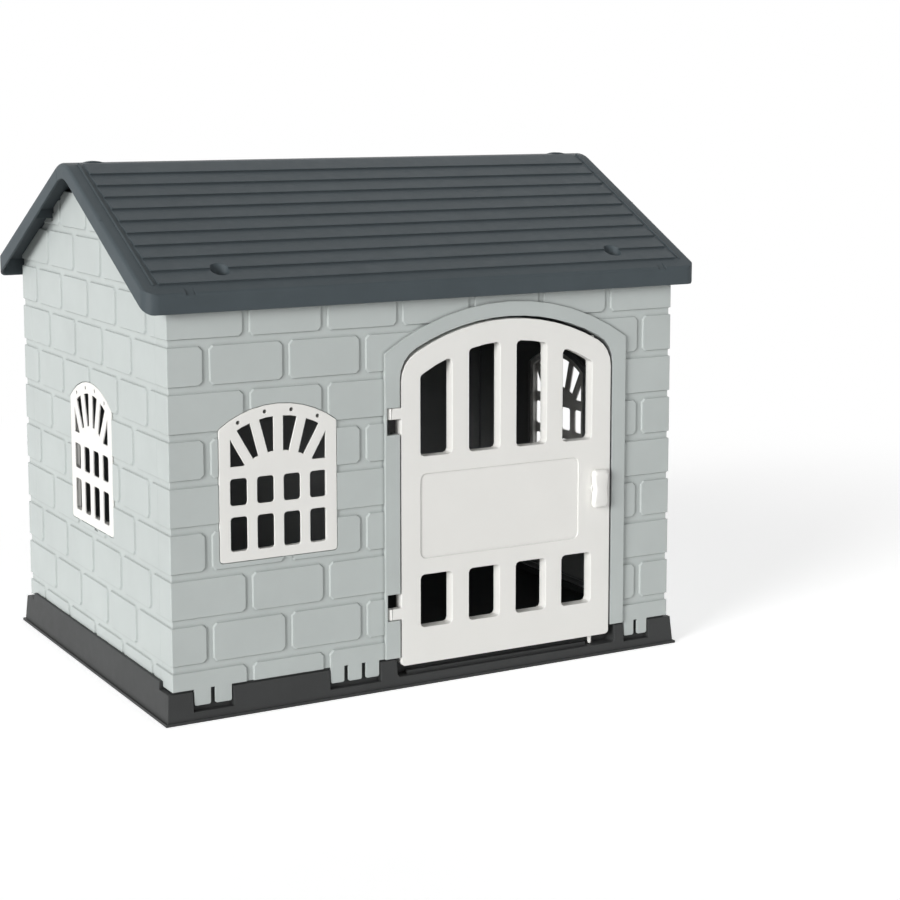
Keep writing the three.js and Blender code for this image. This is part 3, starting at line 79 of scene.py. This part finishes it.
MICRON = 0.000001
FLAT = math.radians(1.0)  # faces that turn by less are one face
HARD = math.radians(50.0)  # edges that turn by more are shaded sharp
UPRIGHT = 0.7  # least share of a normal along an axis that it looks along

log = logging.getLogger("dog_house")

Colour = tuple[float, float, float]


def linear(red: int, green: int, blue: int) -> Colour:
    """Turn a screen colour into the linear colour that shaders take.

    Args:
        red: Red, 0 to 255.
        green: Green, 0 to 255.
        blue: Blue, 0 to 255.

    Returns:
        The linear colour.
    """

    def channel(value: int) -> float:
        """Decode one channel of the screen colour."""
        share = value / 255
        return share / 12.92 if share <= 0.04045 else ((share + 0.055) / 1.055) ** 2.4

    return (channel(red), channel(green), channel(blue))


# ---------------------------------------------------------------- finishes


@dataclass(frozen=True)
class NodeSketch:
    """A small helper that adds and joins shader nodes.

    Attributes:
        owner: The material or world whose tree is being built.
    """

    owner: bpy.types.Material | bpy.types.World

    def add(self, kind: str, **inputs: object) -> bpy.types.Node:
        """Add a node and set its sockets.

        Args:
            kind: The node's type name.
            inputs: Socket values by name, with spaces written as underscores.

        Returns:
            The new node.
        """
        node = self.owner.node_tree.nodes.new(kind)
        for name, value in inputs.items():
            node.inputs[name.replace("_", " ")].default_value = value
        return node

    def join(
        self, source: bpy.types.Node, output: str, target: bpy.types.Node, socket: str | int
    ) -> None:
        """Link an output to an input.

        Args:
            source: The node that gives the value.
            output: Its output's name.
            target: The node that takes it.
            socket: The input's name or number.
        """
        self.owner.node_tree.links.new(source.outputs[output], target.inputs[socket])

    def ramp(
        self,
        source: bpy.types.Node,
        output: str,
        values: tuple[float, float],
        results: tuple[float, float],
    ) -> bpy.types.Node:
        """Stretch a value from one range to another.

        Args:
            source: The node that gives the value.
            output: Its output's name.
            values: The range that it is taken from.
            results: The range that it is stretched to.

        Returns:
            The new node, whose output is Result.
        """
        stretch = self.add("ShaderNodeMapRange")
        stretch.inputs["From Min"].default_value = values[0]
        stretch.inputs["From Max"].default_value = values[1]
        stretch.inputs["To Min"].default_value = results[0]
        stretch.inputs["To Max"].default_value = results[1]
        self.join(source, output, stretch, "Value")
        return stretch


@dataclass(frozen=True)
class MouldedPlastic:
    """Injection-moulded polypropylene: faint mottle, fine moulded grain, soft gloss, painted shade
    in joints and corners.

    Attributes:
        name: The material's name.
        colour: Its linear colour.
        roughness: Its mean roughness.
        specular: Its specular level.
        mottle: How far the colour varies, as a share.
        grain_scale: Grains per metre.
        grain_depth: Depth of the moulded grain in metres.
        sweep: Waviness of large faces in metres.
        painted_shade_width: Width of the joints and corners that get painted shade, in metres.
        painted_shade_strength: How much darker the painted shade makes them, as a share.
        painted_shade_open: How open to the air a spot is, as a share, where it looks darkest
            and where it is as pale as the rest.
        cloud_scale: Patches of the mottle per metre.
        cloud_band: The noise values between which the mottle runs.
        smear_scale: Patches of duller and glossier plastic per metre.
        smear: How far the roughness varies to either side of its mean.
        sweep_scale: Waves per metre of large faces.
    """

    name: str
    colour: Colour
    roughness: float = 0.5
    specular: float = 0.4
    mottle: float = 0.03
    grain_scale: float = 900.0
    grain_depth: float = 0.00003
    sweep: float = 0.0002
    painted_shade_width: float = 0.005
    painted_shade_strength: float = 0.55
    painted_shade_open: tuple[float, float] = (0.45, 0.95)
    cloud_scale: float = 14.0
    cloud_band: tuple[float, float] = (0.3, 0.7)
    smear_scale: float = 55.0
    smear: float = 0.07
    sweep_scale: float = 7.0

    def material(self) -> bpy.types.Material:
        """Build the node tree.

        Returns:
            The material.
        """
        material = bpy.data.materials.new(self.name)
        material.use_nodes = True
        tree = material.node_tree
        tree.nodes.clear()
        sketch = NodeSketch(material)
        place = sketch.add("ShaderNodeTexCoord")
        shader = sketch.add(
            "ShaderNodeBsdfPrincipled",
            Specular_IOR_Level=self.specular,
            IOR=1.49,
        )
        result = sketch.add("ShaderNodeOutputMaterial")
        sketch.join(shader, "BSDF", result, "Surface")

        clouds = sketch.add(
            "ShaderNodeTexNoise", Scale=self.cloud_scale, Detail=4.0, Roughness=0.55
        )
        sketch.join(place, "Object", clouds, "Vector")
        mottled = (1.0 - self.mottle, 1.0 + self.mottle)
        tone = sketch.ramp(clouds, "Fac", self.cloud_band, mottled)
        colour = sketch.add("ShaderNodeVectorMath")
        colour.operation = "MULTIPLY"
        colour.inputs[0].default_value = self.colour
        sketch.join(tone, "Result", colour, 1)
        # Painted shade: ambient occlusion darkens the colour in joints, corners and recesses,
        # where shade falls.
        joints = sketch.add("ShaderNodeAmbientOcclusion", Distance=self.painted_shade_width)
        joints.only_local = True
        joints.samples = 8
        painted_shade_factor = sketch.ramp(joints, "AO", self.painted_shade_open, (1.0 - self.painted_shade_strength, 1.0))
        shaded = sketch.add("ShaderNodeVectorMath")
        shaded.operation = "MULTIPLY"
        sketch.join(colour, "Vector", shaded, 0)
        sketch.join(painted_shade_factor, "Result", shaded, 1)
        sketch.join(shaded, "Vector", shader, "Base Color")

        smear = sketch.add("ShaderNodeTexNoise", Scale=self.smear_scale, Detail=3.0, Roughness=0.6)
        sketch.join(place, "Object", smear, "Vector")
        dull = (self.roughness - self.smear, self.roughness + self.smear)
        gloss = sketch.ramp(smear, "Fac", (0.0, 1.0), dull)
        sketch.join(gloss, "Result", shader, "Roughness")

        grain = sketch.add("ShaderNodeTexNoise", Scale=self.grain_scale, Detail=2.0)
        sketch.join(place, "Object", grain, "Vector")
        fine = sketch.add("ShaderNodeBump", Strength=0.5, Distance=self.grain_depth)
        sketch.join(grain, "Fac", fine, "Height")
        sketch.join(fine, "Normal", shader, "Normal")
        if self.sweep:
            swell = sketch.add("ShaderNodeTexNoise", Scale=self.sweep_scale, Detail=1.0)
            sketch.join(place, "Object", swell, "Vector")
            wide = sketch.add("ShaderNodeBump", Strength=1.0, Distance=self.sweep)
            sketch.join(swell, "Fac", wide, "Height")
            sketch.join(wide, "Normal", fine, "Normal")
        return material


@dataclass(frozen=True)
class PlatedSteel:
    """Bright zinc plate with a fine turned grain.

    Attributes:
        name: The material's name.
        colour: Its linear colour.
        gloss: Its least and greatest roughness.
        grain_scale: Grains per metre.
    """

    name: str
    colour: Colour
    gloss: tuple[float, float] = (0.25, 0.45)
    grain_scale: float = 1200.0

    def material(self) -> bpy.types.Material:
        """Build the node tree.

        Returns:
            The material.
        """
        material = bpy.data.materials.new(self.name)
        material.use_nodes = True
        material.node_tree.nodes.clear()
        sketch = NodeSketch(material)
        place = sketch.add("ShaderNodeTexCoord")
        shader = sketch.add("ShaderNodeBsdfPrincipled", Metallic=1.0)
        shader.inputs["Base Color"].default_value = (*self.colour, 1.0)
        result = sketch.add("ShaderNodeOutputMaterial")
        sketch.join(shader, "BSDF", result, "Surface")
        noise = sketch.add("ShaderNodeTexNoise", Scale=self.grain_scale, Detail=3.0)
        sketch.join(place, "Object", noise, "Vector")
        gloss = sketch.ramp(noise, "Fac", (0.0, 1.0), self.gloss)
        sketch.join(gloss, "Result", shader, "Roughness")
        return material


class Finish(Enum):
    """The finishes of the house."""

    WALL = MouldedPlastic("pale_grey_wall", linear(183, 189, 187), roughness=0.5)
    ROOF = MouldedPlastic(
        "slate_grey_roof",
        linear(69, 77, 81),
        roughness=0.55,
        specular=0.2,
        mottle=0.06,
        grain_depth=0.00004,
    )
    BASE = MouldedPlastic(
        "charcoal_base",
        linear(58, 59, 59),
        roughness=0.55,
        specular=0.2,
        mottle=0.06,
        grain_depth=0.00004,
    )
    WHITE = MouldedPlastic(
        "white_door_and_windows", linear(233, 232, 228), roughness=0.4, mottle=0.012, sweep=0.0001
    )
    # Painted shade: a darker grey that stands in for the shade on the walls' inner faces inside
    # the cabin.
    PAINTED_SHADE = MouldedPlastic(
        "painted_shade_inner_face", linear(128, 130, 130), roughness=0.6, mottle=0.06, specular=0.2
    )
    STEEL = PlatedSteel("zinc_plated_steel", (0.62, 0.62, 0.63))


class Paint:
    """Makes each finish once and hands it out."""

    def __init__(self) -> None:
        """Start with no material made."""
        self._made: dict[Finish, bpy.types.Material] = {}

    def of(self, finish: Finish) -> bpy.types.Material:
        """Give a finish's material, made on first use.

        Args:
            finish: The finish wanted.

        Returns:
            Its material.
        """
        if finish not in self._made:
            self._made[finish] = finish.value.material()
        return self._made[finish]


# ---------------------------------------------------------------- moulded pieces


@dataclass
class MouldedPiece:
    """One moulded piece of the house, taken from its node with its edges rounded.

    Attributes:
        node: The node's name.
        finish: The finish of its faces.
        slot: The record's material slot; not used.
        radius: The radius of its edges in metres.
        crease: The least angle, in degrees, at which an edge is rounded.
        segments: Facets across each rounded edge.
    """

    node: str
    finish: Finish
    slot: str
    radius: float = 0.7 * MM
    crease: float = 30.0
    segments: int = 2

    def build(self, frame: dict, paint: Paint) -> bpy.types.Object:
        """Make the dressed piece, put it on its body and let it stand for its node.

        Args:
            paint: The finishes.

        Returns:
            The dressed piece.
        """
        source = frame["nodes"][self.node]
        mesh = self._rounded(source.data)
        piece = bpy.data.objects.new(f"{self.node}_moulding", mesh)
        bpy.context.scene.collection.objects.link(piece)
        mesh.materials.clear()
        mesh.materials.append(paint.of(self.finish))
        source.data.materials.clear()
        source.data.materials.append(paint.of(self.finish))
        even = piece.modifiers.new("even_shading", "WEIGHTED_NORMAL")
        even.keep_sharp = True
        even.weight = 80
        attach(piece, source["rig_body"])
        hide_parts(self.node)
        log.info("%s: %d faces", piece.name, len(mesh.polygons))
        return piece

    def shows(self, place: Vector) -> bool:
        """Tell whether a corner of the piece is open to view, and so is rounded."""
        return True

    def _rounded(self, source: bpy.types.Mesh) -> bpy.types.Mesh:
        """Merge flat faces and round the edges between the others.

        Args:
            source: The node's mesh.

        Returns:
            A new mesh.
        """
        form = bmesh.new()
        form.from_mesh(source)
        bmesh.ops.remove_doubles(form, verts=form.verts, dist=MICRON)
        crisp = BVHTree.FromBMesh(form)
        open_to_view = [vert for vert in form.verts if self.shows(vert.co)]
        seen = set(open_to_view)
        bmesh.ops.dissolve_limit(
            form,
            angle_limit=FLAT,
            verts=open_to_view,
            edges=[edge for edge in form.edges if seen.issuperset(edge.verts)],
        )
        wide = [face for face in form.faces if len(face.verts) > 4]
        bmesh.ops.triangulate(form, faces=wide, ngon_method="BEAUTY")
        least = math.radians(self.crease)
        corners = [
            edge
            for edge in form.edges
            if len(edge.link_faces) == 2
            and edge.calc_face_angle() > least
            and edge.calc_length() > 0.5 * self.radius
            and all(self.shows(vert.co) for vert in edge.verts)
        ]
        bmesh.ops.bevel(
            form,
            geom=corners,
            offset=self.radius,
            offset_type="OFFSET",
            segments=self.segments,
            profile=0.5,
            affect="EDGES",
            clamp_overlap=False,
        )
        for vert in form.verts:
            face_point, _, _, away = crisp.find_nearest(vert.co)
            if away > self.radius:
                vert.co = face_point
        for face in form.faces:
            face.smooth = True
        mesh = bpy.data.meshes.new(f"{self.node}_moulding")
        form.to_mesh(mesh)
        form.free()
        mesh.set_sharp_from_angle(angle=HARD)
        return mesh


@dataclass
class MouldedTray(MouldedPiece):
    """A moulded tray, hollow underneath, where its ribs keep their crisp edges.

    Attributes:
        reach_x: Half the length of the hollow in metres.
        reach_y: Half its depth.
        deck: Height of the tray's floor.
    """

    reach_x: float = 0.0
    reach_y: float = 0.0
    deck: float = 0.0

    def shows(self, place: Vector) -> bool:
        """Tell whether a corner lies outside the hollow."""
        under = place.z < self.deck
        return not (under and abs(place.x) < self.reach_x and abs(place.y) < self.reach_y)


@dataclass
class SubAssembly:
    """A set of moulded pieces that is built together.

    Attributes:
        name: The sub-assembly's name.
        pieces: Its moulded pieces.
    """

    name: str
    pieces: list[MouldedPiece] = field(default_factory=list)

    def build(self, frame: dict, paint: Paint) -> list[bpy.types.Object]:
        """Build each piece.

        Args:
            paint: The finishes.

        Returns:
            The dressed pieces.
        """
        log.info("building the %s", self.name)
        return [piece.build(frame, paint) for piece in self.pieces]


@dataclass
class BaseTray(SubAssembly):
    """The charcoal tray that the house stands in.

    Attributes:
        name: The sub-assembly's name.
        edge_radius: Radius of the tray's edges in metres.
        wall_reach: How far in from the flange's edge the skirt and the sill reach.
        floor_level: Height under which the hollow lies.
    """

    name: str = "base tray"
    edge_radius: float = 0.7 * MM
    wall_reach: float = 60.0 * MM
    floor_level: float = 32.0 * MM

    def __post_init__(self) -> None:
        """List the tray."""
        _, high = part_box("base_tray")
        tray = MouldedTray(
            "base_tray",
            Finish.BASE,
            "base_plastic",
            radius=self.edge_radius,
            reach_x=high.x - self.wall_reach,
            reach_y=high.y - self.wall_reach,
            deck=self.floor_level,
        )
        self.pieces = [tray]


@dataclass
class Walls(SubAssembly):
    """The four brick-pattern panels, pale grey, with painted shade on their inner faces.

    Attributes:
        name: The sub-assembly's name.
        inner_depth: How far behind a wall's face the painted shade inside starts, in metres.
        edge_radius: Radius of the bricks' edges in metres.
    """

    name: str = "walls"
    inner_depth: float = 4.0 * MM
    edge_radius: float = 0.4 * MM

    def __post_init__(self) -> None:
        """List the panels."""
        self.pieces = [
            MouldedPiece(f"{side}_panel", Finish.WALL, "wall_plastic", radius=self.edge_radius)
            for side in ("front", "rear", "left_gable", "right_gable")
        ]

    def build(self, frame: dict, paint: Paint) -> list[bpy.types.Object]:
        """Build the panels and paint shade on their inner faces.

        Args:
            paint: The finishes.

        Returns:
            The dressed panels.
        """
        panels = super().build(frame, paint)
        for panel in panels:
            paint_shade_inside(panel, frame, paint, self.inner_depth)
        return panels


def paint_shade_inside(
    panel: bpy.types.Object, frame: dict, paint: Paint, inner_depth: float
) -> None:
    """Give the faces that look into the cabin painted shade, a darker grey than the wall's own
    pale grey.

    Args:
        panel: A dressed wall panel or window grille.
        paint: The finishes.
        inner_depth: How far behind the wall's face the inside starts.
    """
    low, high = house_corners(frame)
    mesh = panel.data
    # Painted shade: inner faces take the darker grey in place of the wall's own colour.
    mesh.materials.append(paint.of(Finish.PAINTED_SHADE))
    for face in mesh.polygons:
        place, normal = face.center, face.normal
        depth = min(
            place.x - low.x, high.x - place.x, place.y - low.y, high.y - place.y
        )
        inward = Vector((-place.x if abs(normal.x) > UPRIGHT else 0, -place.y, 0))
        faces_in = normal.dot(inward) > 0 and abs(normal.z) < UPRIGHT
        if depth > inner_depth and (faces_in or depth > 2 * inner_depth):
            face.material_index = 1


def house_corners(frame: dict) -> tuple[Vector, Vector]:
    """Find the outside corners of the walls.


    Returns:
        The lowest and highest corners of the four walls.
    """
    rear_low, rear_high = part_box("rear_panel")
    return Vector((rear_low.x, -rear_high.y, rear_low.z)), rear_high


@dataclass
class Windows(SubAssembly):
    """The three white window grilles.

    Attributes:
        name: The sub-assembly's name.
        edge_radius: Radius of the bars' edges in metres.
    """

    name: str = "window grilles"
    edge_radius: float = 0.6 * MM

    def __post_init__(self) -> None:
        """List the grilles."""
        self.pieces = [
            MouldedPiece(f"{side}_window_grille", Finish.WHITE, "white_plastic", self.edge_radius)
            for side in ("front", "left", "right")
        ]


@dataclass
class Roof(SubAssembly):
    """The two planked roof halves.

    Attributes:
        name: The sub-assembly's name.
        edge_radius: Radius of the planks' and the eaves' edges in metres.
    """

    name: str = "roof"
    edge_radius: float = 0.6 * MM

    def __post_init__(self) -> None:
        """List the halves."""
        self.pieces = [
            MouldedPiece(f"roof_{side}_half", Finish.ROOF, "roof_plastic", self.edge_radius)
            for side in ("front", "rear")
        ]


@dataclass
class Door(SubAssembly):
    """The white door with its two pins.

    Attributes:
        name: The sub-assembly's name.
        edge_radius: Radius of the door's edges in metres.
        pin_radius: Radius of the edges of the pins.
    """

    name: str = "door"
    edge_radius: float = 0.8 * MM
    pin_radius: float = 0.3 * MM

    def __post_init__(self) -> None:
        """List the door and its pins."""
        pins = [
            MouldedPiece(f"{level}_hinge_pin", Finish.STEEL, "steel", self.pin_radius)
            for level in ("upper", "lower")
        ]
        panel = MouldedPiece("door_panel", Finish.WHITE, "white_plastic", self.edge_radius)
        self.pieces = [panel, *pins]


@dataclass
class Latch(SubAssembly):
    """The grip, the cam and the two rods.

    Attributes:
        name: The sub-assembly's name.
        grip_radius: Radius of the grip's edges in metres.
        rod_radius: Radius of the edges of the cam and the rods.
    """

    name: str = "latch"
    grip_radius: float = 0.6 * MM
    rod_radius: float = 0.3 * MM

    def __post_init__(self) -> None:
        """List the latch's pieces."""
        grip = MouldedPiece("latch_grip", Finish.WHITE, "white_plastic", self.grip_radius)
        hidden = [
            MouldedPiece(node, Finish.WHITE, "white_plastic", self.rod_radius)
            for node in ("latch_cam", "upper_latch_rod", "lower_latch_rod")
        ]
        self.pieces = [grip, *hidden]


@dataclass
class Screws(SubAssembly):
    """The roof screws and the corner screws.

    Attributes:
        name: The sub-assembly's name.
        edge_radius: Radius of the heads' edges in metres.
    """

    name: str = "screws"
    edge_radius: float = 0.15 * MM

    def __post_init__(self) -> None:
        """List the screws."""
        roof = [
            f"roof_screw_{side}_{hand}" for side in ("front", "rear") for hand in ("left", "right")
        ]
        wall = [
            f"wall_screw_{hand}_{side}_{level}"
            for hand in ("left", "right")
            for side in ("front", "rear")
            for level in ("low", "high")
        ]
        self.pieces = [
            MouldedPiece(node, Finish.STEEL, "steel", self.edge_radius) for node in roof + wall
        ]


# ---------------------------------------------------------------- studio


@dataclass
class SoftSun:
    """A broad, even lamp that is far away.

    Attributes:
        name: The lamp's name.
        toward: The direction from the house to the lamp.
        strength: What it gives to a white face that looks at it, where 1 is white.
        spread: The angle that it fills, in degrees.
    """

    name: str
    toward: tuple[float, float, float]
    strength: float
    spread: float

    def build(self) -> bpy.types.Object:
        """Hang the lamp.

        Returns:
            The lamp.
        """
        data = bpy.data.lights.new(self.name, "SUN")
        data.energy = math.pi * self.strength
        data.angle = math.radians(self.spread)
        lamp = bpy.data.objects.new(self.name, data)
        bpy.context.scene.collection.objects.link(lamp)
        lamp.rotation_euler = Vector(self.toward).to_track_quat("Z", "Y").to_euler()
        return lamp


@dataclass
class Studio:
    """The floor, the lamps, the white surroundings and the camera.

    Attributes:
        eye: The camera's place in metres.
        heading: How far the camera is turned to the right of +Y, in degrees.
        dip: How far it looks down, in degrees.
        lens: Its focal length in millimetres, on a sensor 36 mm wide.
        shift: How far its frame is raised, as a share of the width, or lowered if below 0.
        floor_reach: Half the width of the floor in metres.
        floor_colour: The floor's linear colour.
        shadow_reach: Where the floor starts to fade and where it is plain white, in metres.
        floor_lift: Brightness that the camera sees on the floor beside the lamps' light.
        overhead: Strength of the even light from above.
        level: Strength of the even light from the sides and below.
    """

    eye: tuple[float, float, float] = (-1.3286, -2.6853, 0.8372)
    heading: float = 29.53
    dip: float = 7.31
    lens: float = 79.0
    shift: float = -0.12
    floor_reach: float = 12.0
    floor_colour: Colour = (0.9, 0.9, 0.9)
    shadow_reach: tuple[float, float] = (0.9, 2.2)
    floor_lift: float = 0.6
    overhead: float = 0.04
    level: float = 0.56
    lamps: list[SoftSun] = field(
        default_factory=lambda: [
            SoftSun("key", (-0.9, -0.38, 0.2), 0.97, 24.0),
            SoftSun("front_fill", (0.15, -0.95, 0.25), 0.15, 50.0),
            SoftSun("rear_fill", (0.45, 0.88, 0.15), 0.2, 60.0),
        ]
    )

    def build(self) -> None:
        """Set the studio up."""
        self._camera()
        self._floor()
        self._surroundings()
        for lamp in self.lamps:
            lamp.build()
        bpy.context.scene.view_settings.view_transform = "Standard"

    def _camera(self) -> None:
        """Stand the camera where the photograph was taken from."""
        data = bpy.data.cameras.new("camera")
        data.sensor_width = 36.0
        data.lens = self.lens
        data.shift_y = self.shift
        data.clip_end = 100.0
        camera = bpy.data.objects.new("camera", data)
        bpy.context.scene.collection.objects.link(camera)
        camera.location = self.eye
        camera.rotation_euler = Euler(
            (math.radians(90.0 - self.dip), 0.0, -math.radians(self.heading))
        )
        bpy.context.scene.camera = camera

    def _floor(self) -> None:
        """Lay a plain pale floor that keeps the shadow and is white to the camera."""
        form = bmesh.new()
        reach = self.floor_reach
        corners = [(-reach, -reach), (reach, -reach), (reach, reach), (-reach, reach)]
        form.faces.new([form.verts.new((x, y, 0.0)) for x, y in corners])
        mesh = bpy.data.meshes.new("floor")
        form.to_mesh(mesh)
        form.free()
        floor = bpy.data.objects.new("floor", mesh)
        bpy.context.scene.collection.objects.link(floor)
        mesh.materials.append(self._floor_material())

    def _floor_material(self) -> bpy.types.Material:
        """Make the floor's finish.

        Returns:
            The material.
        """
        material = bpy.data.materials.new("pale_floor")
        material.use_nodes = True
        material.node_tree.nodes.clear()
        sketch = NodeSketch(material)
        lit = sketch.add("ShaderNodeBsdfPrincipled", Roughness=0.9, Specular_IOR_Level=0.1)
        lit.inputs["Base Color"].default_value = (*self.floor_colour, 1.0)
        lift = sketch.add("ShaderNodeEmission", Strength=self.floor_lift)
        white = sketch.add("ShaderNodeEmission", Strength=1.0)
        raised = sketch.add("ShaderNodeAddShader")
        sketch.join(lit, "BSDF", raised, 0)
        sketch.join(lift, "Emission", raised, 1)
        place = sketch.add("ShaderNodeTexCoord")
        distance = sketch.add("ShaderNodeVectorMath")
        distance.operation = "LENGTH"
        sketch.join(place, "Object", distance, 0)
        fade = sketch.add("ShaderNodeMapRange")
        fade.interpolation_type = "SMOOTHSTEP"
        fade.inputs["From Min"].default_value = self.shadow_reach[0]
        fade.inputs["From Max"].default_value = self.shadow_reach[1]
        sketch.join(distance, "Value", fade, "Value")
        seen = sketch.add("ShaderNodeMixShader")
        sketch.join(fade, "Result", seen, 0)
        sketch.join(raised, "Shader", seen, 1)
        sketch.join(white, "Emission", seen, 2)
        finish = sketch.add("ShaderNodeMixShader")
        self._seen_directly(sketch, finish)
        sketch.join(lit, "BSDF", finish, 1)
        sketch.join(seen, "Shader", finish, 2)
        result = sketch.add("ShaderNodeOutputMaterial")
        sketch.join(finish, "Shader", result, "Surface")
        return material

    @staticmethod
    def _seen_directly(sketch: NodeSketch, mix: bpy.types.Node) -> None:
        """Switch a mix to its second shader for what the camera, gloss and glass show.

        Args:
            sketch: The node tree's helper.
            mix: The mix shader.
        """
        rays = sketch.add("ShaderNodeLightPath")
        gloss = sketch.add("ShaderNodeMath")
        gloss.operation = "MAXIMUM"
        sketch.join(rays, "Is Camera Ray", gloss, 0)
        sketch.join(rays, "Is Glossy Ray", gloss, 1)
        glass = sketch.add("ShaderNodeMath")
        glass.operation = "MAXIMUM"
        sketch.join(gloss, "Value", glass, 0)
        sketch.join(rays, "Is Transmission Ray", glass, 1)
        sketch.join(glass, "Value", mix, 0)

    def _surroundings(self) -> None:
        """Light softly from all round, and show plain white to the camera."""
        world = bpy.data.worlds.new("white_room")
        bpy.context.scene.world = world
        world.use_nodes = True
        world.node_tree.nodes.clear()
        sketch = NodeSketch(world)
        place = sketch.add("ShaderNodeTexCoord")
        parts = sketch.add("ShaderNodeSeparateXYZ")
        sketch.join(place, "Generated", parts, "Vector")
        height = sketch.add("ShaderNodeMapRange")
        height.interpolation_type = "SMOOTHSTEP"
        height.inputs["To Min"].default_value = self.level
        height.inputs["To Max"].default_value = self.overhead
        sketch.join(parts, "Z", height, "Value")
        even = sketch.add("ShaderNodeBackground")
        even.inputs["Color"].default_value = (1.0, 1.0, 1.0, 1.0)
        sketch.join(height, "Result", even, "Strength")
        white = sketch.add("ShaderNodeBackground", Strength=1.0)
        white.inputs["Color"].default_value = (1.0, 1.0, 1.0, 1.0)
        finish = sketch.add("ShaderNodeMixShader")
        self._seen_directly(sketch, finish)
        sketch.join(even, "Background", finish, 1)
        sketch.join(white, "Background", finish, 2)
        result = sketch.add("ShaderNodeOutputWorld")
        sketch.join(finish, "Shader", result, "Surface")


def main() -> None:
    """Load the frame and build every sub-assembly."""
    logging.basicConfig(level=logging.INFO, format="%(message)s")
    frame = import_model()
    Studio().build()
    paint = Paint()
    for part in (BaseTray(), Walls(), Windows(), Roof(), Door(), Latch(), Screws()):
        part.build(frame, paint)


if __name__ == "__main__":
    main()
